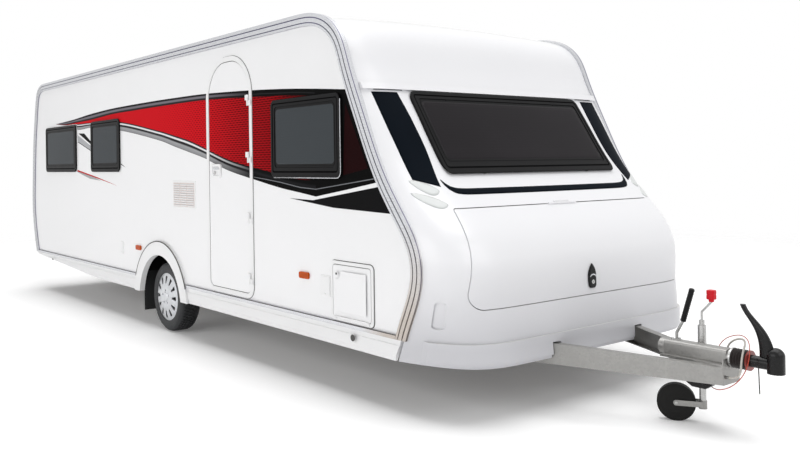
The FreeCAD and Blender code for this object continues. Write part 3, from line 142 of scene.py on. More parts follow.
def pathPoint(points, share):
    # A smooth curve through points, at a share of its chord length.
    lengths = [0.0]
    for before, after in zip(points, points[1:]):
        lengths.append(lengths[-1] + math.dist(before, after))
    place = share * lengths[-1]
    index = 0
    while index < len(points) - 2 and lengths[index + 1] < place:
        index += 1
    local = (place - lengths[index]) / (lengths[index + 1] - lengths[index])
    start, end = Vector(points[index]), Vector(points[index + 1])
    before = Vector(points[index - 1]) if index > 0 else start * 2 - end
    after = Vector(points[index + 2]) if index < len(points) - 2 else end * 2 - start
    square, cube = local ** 2, local ** 3
    return 0.5 * (start * 2 + (end - before) * local + (before * 2 - start * 5 + end * 4 - after) * square
                  + (start * 3 - before - end * 3 + after) * cube)


# Helpers for materials.
def srgb(code):
    # An sRGB hex value as linear light.
    channels = [int(code[index:index + 2], 16) / 255 for index in (1, 3, 5)]
    return tuple(c / 12.92 if c <= 0.04045 else ((c + 0.055) / 1.055) ** 2.4 for c in channels) + (1.0,)


def fillInputs(tree, node, inputs):
    # An input takes a plain value, a socket, or a node, whose first output in use is linked.
    for key, value in inputs.items():
        if isinstance(value, bpy.types.Node):
            value = next(output for output in value.outputs if output.enabled)
        if isinstance(value, bpy.types.NodeSocket):
            tree.links.new(value, node.inputs[key])
        else:
            node.inputs[key].default_value = value


def addNode(tree, kind, inputs=None, **settings):
    node = tree.nodes.new(kind)
    for name, value in settings.items():
        setattr(node, name, value)
    fillInputs(tree, node, inputs or {})
    return node


def startMaterial(name, **sockets):
    # A Principled material; the named sockets are set as plain values.
    material = bpy.data.materials.new(name)
    material.use_nodes = True
    tree = material.node_tree
    shader = tree.nodes["Principled BSDF"]
    for key, value in sockets.items():
        shader.inputs[key.replace("_", " ")].default_value = value
    place = addNode(tree, "ShaderNodeTexCoord").outputs["Object"]
    return material, tree, shader, place


def band(tree, value, low, high, soft):
    # One inside low to high, nought outside, with soft edges.
    rise = addNode(tree, "ShaderNodeMapRange",
                   {"Value": value, "From Min": low - soft, "From Max": low + soft})
    fall = addNode(tree, "ShaderNodeMapRange",
                   {"Value": value, "From Min": high - soft, "From Max": high + soft,
                    "To Min": 1.0, "To Max": 0.0})
    return addNode(tree, "ShaderNodeMath", {0: rise, 1: fall}, operation="MULTIPLY")


mixA, mixB = 6, 7  # the Mix node's two colour inputs
grainScale = 1000  # over a grain in millimetres: the scale of a noise or cell pattern
straightScale, diagonalScale = 100 * math.pi, 200 * math.pi  # the same over a band of a wave pattern

# The camera at the photograph's angle, the white studio, and the floor that fades into the background.
view = {
    "place": (6.8332, -4.5663, 1.5572), "yaw": 53.039, "roll": -0.7631, "lens": 37.936,
    "shiftX": 0.05925, "shiftY": -0.0819, "clipEnd": 200,
}
yaw, roll = math.radians(view["yaw"]), math.radians(view["roll"])
ahead = Vector((-math.sin(yaw), math.cos(yaw), 0))
level = ahead.cross(up)
right = level * math.cos(roll) + up * math.sin(roll)
upright = up * math.cos(roll) - level * math.sin(roll)
cameraData = bpy.data.cameras.new("photoCamera")
cameraData.lens, cameraData.shift_x, cameraData.shift_y = view["lens"], view["shiftX"], view["shiftY"]
cameraData.clip_end = view["clipEnd"]
camera = bpy.data.objects.new("photoCamera", cameraData)
turn = Matrix((right, upright, -ahead)).transposed().to_4x4()
camera.matrix_world = Matrix.Translation(view["place"]) @ turn
bpy.context.scene.collection.objects.link(camera)
bpy.context.scene.camera = camera
bpy.context.scene.view_settings.view_transform = "Standard"

studio = {
    "ambient": 0.2, "floor": "#FFFFFF", "floorGrain": "#FAFAFA", "grainMillimetres": 330,
    "floorRadius": 14.0, "floorSides": 96, "fadeFrom": 0.48, "fadeTo": 0.98,
    "floorGlow": 0.11,  # lifts the shadow as the pale surroundings would
    # name: place, what it points at, width, height, power
    "softboxes": {
        "sideSoftbox": ((0.0, -10.5, 4.2), (-1.5, -1.2, 1.2), 14.0, 4.5, 415),
        "frontSoftbox": ((12.0, 1.0, 6.4), (3.0, 0.1, 1.2), 9.0, 6.0, 275),
        "topSoftbox": ((-1.5, 2.0, 25.0), (-1.5, 0.0, 0.0), 38.0, 22.0, 7250),
    },
}
world = bpy.data.worlds.new("studio")
bpy.context.scene.world = world
world.use_nodes = True
sky = world.node_tree
seen = addNode(sky, "ShaderNodeLightPath").outputs
direct = addNode(sky, "ShaderNodeMath", {0: seen["Is Camera Ray"], 1: seen["Is Glossy Ray"]},
                 operation="MAXIMUM")
direct = addNode(sky, "ShaderNodeMath", {0: direct, 1: seen["Is Transmission Ray"]}, operation="MAXIMUM")
strength = addNode(sky, "ShaderNodeMath", {0: direct, 1: 1.0 - studio["ambient"], 2: studio["ambient"]},
                   operation="MULTIPLY_ADD")
fillInputs(sky, sky.nodes["Background"], {"Color": (1, 1, 1, 1), "Strength": strength})
for name, (place, target, width, height, power) in studio["softboxes"].items():
    light = bpy.data.lights.new(name, "AREA")
    light.shape, light.size, light.size_y, light.energy = "RECTANGLE", width, height, power
    lamp = bpy.data.objects.new(name, light)
    lamp.location = place
    lamp.rotation_euler = (Vector(target) - Vector(place)).to_track_quat("-Z", "Y").to_euler()
    lamp.visible_camera = False
    bpy.context.scene.collection.objects.link(lamp)

work = bmesh.new()
bmesh.ops.create_circle(work, cap_ends=True, segments=studio["floorSides"], radius=studio["floorRadius"])
floorSheet = bpy.data.objects.new("studioFloor", toMesh(work, recalc=False))
bpy.context.scene.collection.objects.link(floorSheet)
floorPaper, tree, shader, place = startMaterial("studioPaper", Roughness=0.85, Specular_IOR_Level=0.1,
                                                Emission_Color=(1, 1, 1, 1),
                                                Emission_Strength=studio["floorGlow"])
grain = addNode(tree, "ShaderNodeTexNoise",
                {"Vector": place, "Scale": grainScale / studio["grainMillimetres"]})
tone = addNode(tree, "ShaderNodeMix",
               {0: grain, mixA: srgb(studio["floorGrain"]), mixB: srgb(studio["floor"])},
               data_type="RGBA")
distance = addNode(tree, "ShaderNodeVectorMath", {0: place}, operation="LENGTH")
fade = addNode(tree, "ShaderNodeMapRange", {
    "Value": distance, "From Min": studio["floorRadius"] * studio["fadeFrom"],
    "From Max": studio["floorRadius"] * studio["fadeTo"], "To Min": 1.0, "To Max": 0.0},
    interpolation_type="SMOOTHSTEP")
fillInputs(tree, shader, {"Base Color": tone, "Alpha": fade})
floorSheet.data.materials.append(floorPaper)
print("stage: camera, studio and floor")


# Cords: the pale towing lead and the red breakaway cable, each on its route from part to part.
cords = {
    "towingLead": {
        "node": "electric_cable", "length": 0.515, "radius": 0.0055, "stiffness": "medium",
        "slot": "cable_grey",
        "route": [(4.2355, 0.066, 0.43), (4.2415, 0.066, 0.474), (4.2675, 0.064, 0.51), (4.3095, 0.056, 0.534),
                  (4.3595, 0.034, 0.542), (4.3915, -0.012, 0.526), (4.4015, -0.058, 0.488),
                  (4.4035, -0.08, 0.434), (4.4015, -0.082, 0.378), (4.3755, -0.072, 0.342),
                  (4.3235, -0.064, 0.334)]},
    "breakawayCable": {
        "node": "breakaway_cable", "length": 0.943, "radius": 0.0025, "stiffness": "stiff",
        "slot": "cable_red",
        "route": [(4.1855, 0.06, 0.42), (4.1895, 0.06, 0.462), (4.2135, 0.058, 0.502), (4.2515, 0.054, 0.534),
                  (4.3035, 0.044, 0.556), (4.3615, 0.02, 0.566), (4.4135, -0.018, 0.552),
                  (4.4415, -0.056, 0.508), (4.4495, -0.086, 0.45), (4.4375, -0.106, 0.388),
                  (4.4015, -0.116, 0.332), (4.3495, -0.114, 0.29), (4.2875, -0.098, 0.264),
                  (4.2315, -0.062, 0.254), (4.1875, -0.018, 0.254), (4.1475, 0.012, 0.262),
                  (4.0995, 0.012, 0.262)]},
}


def makeSheath(name, colour, shade, ribMillimetres, roughness):
    # Extruded cable sheath: a soft sheen, dull handling marks, and fine rings from the strands beneath.
    material, tree, shader, place = startMaterial(name, Roughness=roughness, IOR=1.45)
    marks = addNode(tree, "ShaderNodeTexNoise", {"Vector": place, "Scale": grainScale / 17, "Detail": 4.0})
    tone = addNode(tree, "ShaderNodeMix", {0: marks, mixA: srgb(shade), mixB: srgb(colour)}, data_type="RGBA")
    rings = addNode(tree, "ShaderNodeTexWave",
                    {"Vector": place, "Scale": diagonalScale / ribMillimetres, "Distortion": 1.5},
                    bands_direction="DIAGONAL")
    bump = addNode(tree, "ShaderNodeBump",
                   {"Strength": 0.5, "Distance": 0.0006, "Height": rings.outputs["Fac"]})
    fillInputs(tree, shader, {"Base Color": tone, "Normal": bump})
    return material


cordMaterials = {
    "towingLead": makeSheath("greyTowingLeadSheath", "#C9C6C0", "#AAA59D", 11.4, 0.5),
    "breakawayCable": makeSheath("redCoatedSteelCable", "#C4452F", "#93301F", 5.7, 0.32),
}
for name, cord in cords.items():
    curve = bpy.data.curves.new(name, "CURVE")
    curve.dimensions, curve.bevel_depth, curve.bevel_resolution = "3D", cord["radius"], 5
    curve.use_fill_caps, curve.resolution_u = True, 24
    spline = curve.splines.new("NURBS")
    spline.points.add(len(cord["route"]) - 1)
    for point, place in zip(spline.points, cord["route"]):
        point.co = (*place, 1.0)
    spline.order_u, spline.use_endpoint_u = 3, True
    curve.materials.append(cordMaterials[name])
    lead = bpy.data.objects.new(name, curve)
    bpy.context.scene.collection.objects.link(lead)
    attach(lead, "caravan")
    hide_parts(cord["node"])
print("stage: cords")

# White finishes, and the painted shade that they share: greyer towards the foot and on level tops.
whiteSurfaceAndShade = {
    "footShade": "#8A8A92", "footShadeTop": 0.98, "footShadeFoot": 0.45,  # painted shade that deepens downwards, greying the foot of each panel
    "dust": "#CDCDCA", "topShadeShare": 0.9, "topShadeFrom": 0.86, "topShadeFull": 0.99,  # painted shade that greys level tops, which the light from above hits hardest; by how level the panel lies
    "driftMillimetres": 1100, "speckMillimetres": 26,
}
whiteFinishes = {
    "enamelledAluminiumSheet": {  # coil-coated sheet on the walls and roof: even, glossy, faintly wavy
        "colour": "#F1F1F2", "shade": "#EDEDEE", "roughness": 0.3, "coat": 0.2, "waveMillimetres": 420,
        "waveHeight": 0.0006, "footShade": 0.03},
    "gelcoatMoulding": {  # hand-laid glass fibre with gelcoat on the nose: deeper gloss, long soft waves
        "colour": "#F3F3F5", "shade": "#EEEEF1", "roughness": 0.3, "coat": 0.2, "waveMillimetres": 300,
        "waveHeight": 0.0008, "footShade": 0.52},
    "gelcoatStepShade": {  # the same moulding on the small steps beside the window, greyer as painted shade of the steps
        "colour": "#D9DCDB", "shade": "#CDD0CF", "roughness": 0.3, "coat": 0.2, "waveMillimetres": 200,
        "waveHeight": 0.0003, "footShade": 0.03},
    "whiteAbsMoulding": {  # vacuum-formed ABS skirts, frames and vents: satin with a fine pebble
        "colour": "#EEEEEE", "shade": "#E9E9EA", "roughness": 0.4, "coat": 0.0, "waveMillimetres": 6,
        "waveHeight": 0.00004, "footShade": 0.03},
}


def makeWhiteFinish(name, values):
    # Shared build-up of the white finishes: faint tone drift over the panel and a fine surface wave.
    material, tree, shader, place = startMaterial(name, Coat_Weight=values["coat"], Coat_Roughness=0.06,
                                                  IOR=1.5)
    drift = addNode(tree, "ShaderNodeTexNoise", {
        "Vector": place, "Scale": grainScale / whiteSurfaceAndShade["driftMillimetres"], "Detail": 3.0})
    tone = addNode(tree, "ShaderNodeMix",
                   {0: drift, mixA: srgb(values["shade"]), mixB: srgb(values["colour"])},
                   data_type="RGBA")
    # Painted shade: greyer towards the foot, strongest on the nose's gelcoat.
    height = addNode(tree, "ShaderNodeSeparateXYZ", {"Vector": place}).outputs["Z"]
    footShade = addNode(tree, "ShaderNodeMapRange", {
        "Value": height, "From Min": whiteSurfaceAndShade["footShadeTop"], "From Max": whiteSurfaceAndShade["footShadeFoot"],
        "To Max": values["footShade"]})
    tone = addNode(tree, "ShaderNodeMix", {0: footShade, mixA: tone, mixB: srgb(whiteSurfaceAndShade["footShade"])},
                   data_type="RGBA")
    # Painted shade: level tops greyed against the light that falls on them from above.
    facing = addNode(tree, "ShaderNodeTexCoord").outputs["Normal"]
    paintedTopShade = addNode(tree, "ShaderNodeMapRange", {
        "Value": addNode(tree, "ShaderNodeSeparateXYZ", {"Vector": facing}).outputs["Z"],
        "From Min": whiteSurfaceAndShade["topShadeFrom"], "From Max": whiteSurfaceAndShade["topShadeFull"],
        "To Max": whiteSurfaceAndShade["topShadeShare"]})
    tone = addNode(tree, "ShaderNodeMix", {0: paintedTopShade, mixA: tone, mixB: srgb(whiteSurfaceAndShade["dust"])},
                   data_type="RGBA")
    speck = addNode(tree, "ShaderNodeTexNoise", {
        "Vector": place, "Scale": grainScale / whiteSurfaceAndShade["speckMillimetres"], "Detail": 4.0})
    rough = addNode(tree, "ShaderNodeMapRange", {
        "Value": speck, "From Min": 0.3, "From Max": 0.7, "To Min": values["roughness"] * 0.92,
        "To Max": values["roughness"] * 1.08})
    wave = addNode(tree, "ShaderNodeTexNoise", {
        "Vector": place, "Scale": grainScale / values["waveMillimetres"], "Detail": 2.0})
    bump = addNode(tree, "ShaderNodeBump",
                   {"Strength": 0.35, "Distance": values["waveHeight"], "Height": wave})
    fillInputs(tree, shader, {"Base Color": tone, "Roughness": rough, "Normal": bump})
    return material


finish = {name: makeWhiteFinish(name, values) for name, values in whiteFinishes.items()}

# Metals and lacquers.
galvanised = {
    # bright, dull, width of a zinc crystal in millimetres, roughness
    "hotDipGalvanisedSteel": ("#A6A5A2", "#8F8E8C", 11, 0.45),
    "zincPlatedSteel": ("#C9C9C8", "#AFAFAE", 5, 0.34),
}


def makeGalvanised(name, bright, dull, crystalMillimetres, roughness):
    # Zinc coating: crystals that catch the light one by one, with dull white bloom between them.
    material, tree, shader, place = startMaterial(name, Metallic=0.85)
    crystals = addNode(tree, "ShaderNodeTexVoronoi", {
        "Vector": place, "Scale": grainScale / crystalMillimetres, "Randomness": 0.9})
    bloom = addNode(tree, "ShaderNodeTexNoise", {
        "Vector": place, "Scale": grainScale / 71, "Detail": 5.0, "Roughness": 0.65})
    facet = addNode(tree, "ShaderNodeSeparateColor", {"Color": crystals.outputs["Color"]})
    share = addNode(tree, "ShaderNodeMath", {0: facet, 1: bloom}, operation="MULTIPLY")
    tone = addNode(tree, "ShaderNodeMix", {0: share, mixA: srgb(dull), mixB: srgb(bright)}, data_type="RGBA")
    rough = addNode(tree, "ShaderNodeMapRange", {
        "Value": facet, "To Min": roughness * 0.75, "To Max": roughness * 1.3})
    bump = addNode(tree, "ShaderNodeBump", {"Strength": 0.4, "Distance": 0.0004, "Height": bloom})
    fillInputs(tree, shader, {"Base Color": tone, "Roughness": rough, "Normal": bump})
    return material


rail = {
    "land": ("#B6B7BB", "#D8D9DC"), "groove": "#5F5C78", "dustyLand": "#B3ABA4", "dustyGroove": "#5C5550",
    "grooveFrom": -0.0005, "grooveTo": 0.0065, "grooveSoft": 0.001,  # out from the wall
    "dustHeight": (1.2, 0.6), "dustAlong": (2.5, 2.75),  # the foot of the nose, where the wheels throw dirt
    "drawnMillimetres": (125, 1.11),  # length and width of a die mark
}


def makeAnodisedRail():
    # Extruded edge rail: bright lands, and violet-grey shade in its grooves, told by their depth.
    material, tree, shader, place = startMaterial("anodisedAluminiumExtrusion", Metallic=0.9)
    parts = addNode(tree, "ShaderNodeSeparateXYZ", {"Vector": place}).outputs
    depth = addNode(tree, "ShaderNodeMath", {0: parts["Y"]}, operation="ABSOLUTE")
    long, fine = (grainScale / size for size in rail["drawnMillimetres"])
    drawn = addNode(tree, "ShaderNodeTexNoise", {
        "Vector": addNode(tree, "ShaderNodeMapping", {"Vector": place, "Scale": (long, fine, fine)}),
        "Scale": 1.0, "Detail": 3.0})
    groove = band(tree, depth, body["halfWidth"] + rail["grooveFrom"], body["halfWidth"] + rail["grooveTo"],
                  rail["grooveSoft"])
    top, foot = rail["dustHeight"]
    low = addNode(tree, "ShaderNodeMapRange", {"Value": parts["Z"], "From Min": top, "From Max": foot})
    start, end = rail["dustAlong"]
    atNose = addNode(tree, "ShaderNodeMapRange", {"Value": parts["X"], "From Min": start, "From Max": end})
    dusty = addNode(tree, "ShaderNodeMath", {0: low, 1: atNose}, operation="MULTIPLY")
    dull, bright = rail["land"]
    land = addNode(tree, "ShaderNodeMix", {0: drawn, mixA: srgb(dull), mixB: srgb(bright)}, data_type="RGBA")
    land = addNode(tree, "ShaderNodeMix", {0: dusty, mixA: land, mixB: srgb(rail["dustyLand"])},
                   data_type="RGBA")
    line = addNode(tree, "ShaderNodeMix", {
        0: dusty, mixA: srgb(rail["groove"]), mixB: srgb(rail["dustyGroove"])}, data_type="RGBA")
    tone = addNode(tree, "ShaderNodeMix", {0: groove, mixA: land, mixB: line}, data_type="RGBA")
    rough = addNode(tree, "ShaderNodeMapRange", {"Value": drawn, "To Min": 0.2, "To Max": 0.36})
    bump = addNode(tree, "ShaderNodeBump", {"Strength": 0.3, "Distance": 0.0001, "Height": drawn})
    fillInputs(tree, shader, {"Base Color": tone, "Roughness": rough, "Normal": bump})
    return material


lacquers = {
    # colour, shade, metallic, roughness, flake in millimetres, coat, glare
    "silverMetallicLacquer": ("#CFD1D4", "#A3A6AA", 0.75, 0.3, 1.2, 0.5, 0.5),
    "blackPowderCoat": ("#0B0B0C", "#131314", 0.0, 0.26, 2.0, 0.12, 0.2),
    # Bright lacquer, for the lid handle's crescent and as a painted highlight along the lounge windows' edges.
    "brightLacquerAndEdgeHighlight": ("#C9CBCE", "#AEB0B4", 0.5, 0.25, 3.0, 0.5, 0.5),
    "redPrimedRing": ("#8E2E26", "#5F1E19", 0.2, 0.45, 2.0, 0.5, 0.5),
}


def makeLacquer(name, colour, shade, metallic, roughness, flakeMillimetres, coat, glare):
    # Sprayed lacquer: fine sparkle under a clear coat, road dust in the low places. Real flakes are far
    # finer than a pixel, so they are drawn as coarse as needed to show.
    material, tree, shader, place = startMaterial(name, Metallic=metallic, Coat_Weight=coat,
                                                  Coat_Roughness=0.08, Specular_IOR_Level=glare)
    flakes = addNode(tree, "ShaderNodeTexVoronoi", {"Vector": place, "Scale": grainScale / flakeMillimetres})
    dust = addNode(tree, "ShaderNodeTexNoise", {"Vector": place, "Scale": grainScale / 40, "Detail": 5.0})
    share = addNode(tree, "ShaderNodeMath", {0: flakes, 1: dust}, operation="MULTIPLY")
    tone = addNode(tree, "ShaderNodeMix", {0: share, mixA: srgb(colour), mixB: srgb(shade)}, data_type="RGBA")
    rough = addNode(tree, "ShaderNodeMapRange", {
        "Value": dust, "To Min": roughness * 0.8, "To Max": roughness * 1.3})
    bump = addNode(tree, "ShaderNodeBump", {"Strength": 0.25, "Distance": 0.0002, "Height": dust})
    fillInputs(tree, shader, {"Base Color": tone, "Roughness": rough, "Normal": bump})
    return material


for name, values in galvanised.items():
    finish[name] = makeGalvanised(name, *values)
finish["anodisedRail"] = makeAnodisedRail()
for name, values in lacquers.items():
    finish[name] = makeLacquer(name, *values)

wheelWells = {
    "centre": (-0.6045, 0.325), "reach": 0.199, "black": "#050505",
    "deep": 0.034, "shallow": 0.0235,  # depths behind the outer face of the wheel cover
}


def paintWellShade(material, face):
    # Painted shade behind the slots of the wheel cover: black where the metal lies deep inside.
    tree = material.node_tree
    shader = tree.nodes["Principled BSDF"]
    plain = shader.inputs["Base Color"].links[0].from_socket
    place = addNode(tree, "ShaderNodeTexCoord").outputs["Object"]
    parts = addNode(tree, "ShaderNodeSeparateXYZ", {"Vector": place}).outputs
    depth = addNode(tree, "ShaderNodeMath", {0: parts["Y"]}, operation="ABSOLUTE")
    deep = addNode(tree, "ShaderNodeMapRange", {
        "Value": depth, "From Min": face - wheelWells["deep"], "From Max": face - wheelWells["shallow"],
        "To Min": 1.0, "To Max": 0.0})
    x, z = wheelWells["centre"]
    level = addNode(tree, "ShaderNodeCombineXYZ", {"X": parts["X"], "Z": parts["Z"]})
    away = addNode(tree, "ShaderNodeVectorMath", {0: level, 1: (x, 0, z)}, operation="DISTANCE")
    inside = addNode(tree, "ShaderNodeMath", {0: away, 1: wheelWells["reach"]}, operation="LESS_THAN")
    well = addNode(tree, "ShaderNodeMath", {0: deep, 1: inside}, operation="MULTIPLY")
    tone = addNode(tree, "ShaderNodeMix", {0: well, mixA: plain, mixB: srgb(wheelWells["black"])},
                   data_type="RGBA")
    fillInputs(tree, shader, {"Base Color": tone})


paintWellShade(finish["silverMetallicLacquer"], -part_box("wheel_right")[0][1])

# Plastics and rubbers.
plastics = {
    # colour, shade, roughness, pebble in millimetres, pebble height in metres, glare
    "charcoalWindowFrame": ("#1C1C1D", "#141415", 0.4, 1.5, 0.00006, 0.07),
    "blackGripPlastic": ("#151516", "#0C0C0D", 0.42, 1.6, 0.0002, 0.2),
    "bellowsRubber": ("#29211F", "#1A1514", 0.55, 2.2, 0.0003, 0.5),
    "tyreRubber": ("#2D2E30", "#1F2022", 0.62, 1.8, 0.0003, 0.5),
    "solidWheelRubber": ("#191818", "#111110", 0.55, 1.8, 0.0002, 0.2),
    "mudflapRubber": ("#202122", "#151617", 0.7, 3.0, 0.0004, 0.5),
    "redKnobPlastic": ("#DE1E2C", "#C21521", 0.35, 4.0, 0.00004, 0.2),
    # Black for lock parts; also painted shade in the grooves of the pane borders and in the key slot of the
    # lid's lock.
    "blackRubberAndGrooveShade": ("#040404", "#070708", 0.7, 2.0, 0.0001, 0.03),
    # Grey rubber for inserts and covers, also drawn as painted shadow lines; black rubber in the door gap,
    # also its painted shade.
    "greyRubberAndShadowLine": ("#636261", "#4E4D4C", 0.7, 2.0, 0.0001, 0.1),
    "blackGasketAndGapShade": ("#1E1E1E", "#141414", 0.7, 2.0, 0.0001, 0.05),
}


def makePlastic(name, colour, shade, roughness, pebbleMillimetres, height, glare):
    # Moulded plastic or rubber: mottled pigment, and the mould's pebble drawn coarse enough to show.
    material, tree, shader, place = startMaterial(name, IOR=1.48, Specular_IOR_Level=glare)
    cloud = addNode(tree, "ShaderNodeTexNoise", {
        "Vector": place, "Scale": grainScale / 110, "Detail": 5.0, "Roughness": 0.6})
    tone = addNode(tree, "ShaderNodeMix", {0: cloud, mixA: srgb(shade), mixB: srgb(colour)}, data_type="RGBA")
    grains = addNode(tree, "ShaderNodeTexVoronoi", {"Vector": place, "Scale": grainScale / pebbleMillimetres},
                     feature="SMOOTH_F1")
    rough = addNode(tree, "ShaderNodeMapRange", {
        "Value": cloud, "To Min": roughness * 0.8, "To Max": roughness * 1.25})
    bump = addNode(tree, "ShaderNodeBump", {"Strength": 0.5, "Distance": height, "Height": grains})
    fillInputs(tree, shader, {"Base Color": tone, "Roughness": rough, "Normal": bump})
    return material


lenses = {"amberLampLens": ("#C85203", "#8F3603", 0.0), "redLampLens": ("#C21820", "#7E0E14", 0.03)}


def makeLens(name, colour, deep, glow):
    # Moulded lamp lens: a deep tint that carries light through, with the small prisms in its back.
    material, tree, shader, place = startMaterial(
        name, Roughness=0.25, IOR=1.49, Specular_IOR_Level=0.12, Subsurface_Weight=0.25,
        Subsurface_Scale=0.02, Emission_Color=srgb(colour), Emission_Strength=glow)
    prisms = addNode(tree, "ShaderNodeTexVoronoi", {
        "Vector": place, "Scale": grainScale / 5.9, "Randomness": 0.15}, distance="CHEBYCHEV")
    tone = addNode(tree, "ShaderNodeMix", {0: prisms, mixA: srgb(colour), mixB: srgb(deep)}, data_type="RGBA")
    bump = addNode(tree, "ShaderNodeBump", {"Strength": 0.4, "Distance": 0.001, "Height": prisms})
    fillInputs(tree, shader, {"Base Color": tone, "Normal": bump})
    return material


acrylics = {
    # colour, shade, glare
    "smokedAcrylicSide": ("#45494C", "#404447", 0.02), "smokedAcrylicFront": ("#292629", "#1D1B1D", 0.06),
}
blindFold = 20  # millimetres from pleat to pleat


def makeAcrylic(name, colour, shade, glare):
    # Smoked acrylic over a drawn pleated blind: the pleats show as faint bands of painted shade under a clear
    # gloss.
    material, tree, shader, place = startMaterial(name, Roughness=0.24, IOR=1.49, Specular_IOR_Level=glare)
    pleats = addNode(tree, "ShaderNodeTexWave", {"Vector": place, "Scale": straightScale / blindFold},
                     bands_direction="Z")
    haze = addNode(tree, "ShaderNodeTexNoise", {"Vector": place, "Scale": grainScale / 900})
    share = addNode(tree, "ShaderNodeMath", {0: pleats.outputs["Fac"], 1: 0.1, 2: haze},
                    operation="MULTIPLY_ADD")
    tone = addNode(tree, "ShaderNodeMix", {0: share, mixA: srgb(shade), mixB: srgb(colour)}, data_type="RGBA")
    bump = addNode(tree, "ShaderNodeBump", {"Strength": 0.15, "Distance": 0.0008, "Height": haze})
    fillInputs(tree, shader, {"Base Color": tone, "Normal": bump})
    return material


def makeBlind():
    # Pleated blind fabric with its weave: soft folds without any shine, their light and dark bands painted
    # into the colour as shade.
    material, tree, shader, place = startMaterial("pleatedBlindFabric", Roughness=0.9)
    pleats = addNode(tree, "ShaderNodeTexWave", {"Vector": place, "Scale": straightScale / blindFold},
                     bands_direction="Z").outputs["Fac"]
    weave = addNode(tree, "ShaderNodeTexNoise", {"Vector": place, "Scale": grainScale / 1.1})
    tone = addNode(tree, "ShaderNodeMix", {0: pleats, mixA: srgb("#B9B5AC"), mixB: srgb("#DAD7CF")},
                   data_type="RGBA")
    tone = addNode(tree, "ShaderNodeMix", {0: weave, mixA: tone, mixB: srgb("#CFCBC2")}, data_type="RGBA")
    bump = addNode(tree, "ShaderNodeBump", {"Strength": 0.6, "Distance": 0.004, "Height": pleats})
    fillInputs(tree, shader, {"Base Color": tone, "Normal": bump})
    return material


def makeUnderseal():
    # Plywood underside brushed with black-brown underseal: coarse brush drag and bare thin patches.
    material, tree, shader, place = startMaterial("undersealedPlywood", Roughness=0.8)
    long, fine = grainScale / 330, grainScale / 22  # length and width of a brush mark
    drag = addNode(tree, "ShaderNodeTexNoise", {
        "Vector": addNode(tree, "ShaderNodeMapping", {"Vector": place, "Scale": (long, fine, fine)}),
        "Scale": 1.0, "Detail": 6.0})
    tone = addNode(tree, "ShaderNodeMix", {0: drag, mixA: srgb("#2B2724"), mixB: srgb("#5C4E40")},
                   data_type="RGBA")
    bump = addNode(tree, "ShaderNodeBump", {"Strength": 0.5, "Distance": 0.002, "Height": drag})
    fillInputs(tree, shader, {"Base Color": tone, "Normal": bump})
    return material


for name, values in plastics.items():
    finish[name] = makePlastic(name, *values)
for name, values in lenses.items():
    finish[name] = makeLens(name, *values)
for name, values in acrylics.items():
    finish[name] = makeAcrylic(name, *values)
finish["pleatedBlind"] = makeBlind()
finish["undersealedPlywood"] = makeUnderseal()

nodeFinish = {
    "enamelledAluminiumSheet": ["side_wall_right", "side_wall_left", "roof", "door_leaf", "service_hatch"],
    "gelcoatMoulding": ["front_cap", "front_window_panel", "front_moulding", "locker_lid", "rear_wall",
                        "lid_hinge"],
    "whiteAbsMoulding": ["skirt_right", "skirt_left", "door_frame", "door_handle", "hatch_frame",
                         "wall_vents", "rooflights", "rear_bumper"],
    "anodisedRail": ["body_rails"],
    "hotDipGalvanisedSteel": ["chassis_rail_right", "chassis_rail_left", "cross_members", "axle_tube",
                              "swing_arms", "overrun_housing", "steady_brackets", "jockey_fork"],
    "zincPlatedSteel": ["jockey_tube", "jockey_stem", "steady_rear_right", "steady_rear_left",
                        "steady_front_right", "steady_front_left", "handbrake_lever", "jockey_crank"],
    "silverMetallicLacquer": ["wheel_right", "wheel_left"],
    "blackPowderCoat": ["coupling_head", "coupling_handle", "jockey_clamp"],
    "charcoalWindowFrame": ["window_frames", "window_panes"],
    "blackGripPlastic": ["lid_handle", "wheel_boxes"],
    "bellowsRubber": ["drawshaft_bellows"],
    "tyreRubber": ["tyre_right", "tyre_left"],
    "solidWheelRubber": ["jockey_wheel"],
    "mudflapRubber": ["mudflaps"],
    "amberLampLens": ["side_markers"],
    "redLampLens": ["rear_lamps"],
    "pleatedBlind": ["window_blinds"],
    "undersealedPlywood": ["floor", "locker_bulkhead"],
}
for name, members in nodeFinish.items():
    for member in members:
        mesh = nodes[member].data
        mesh.materials.clear()
        mesh.materials.append(finish[name])
print("stage: finishes on the frame")


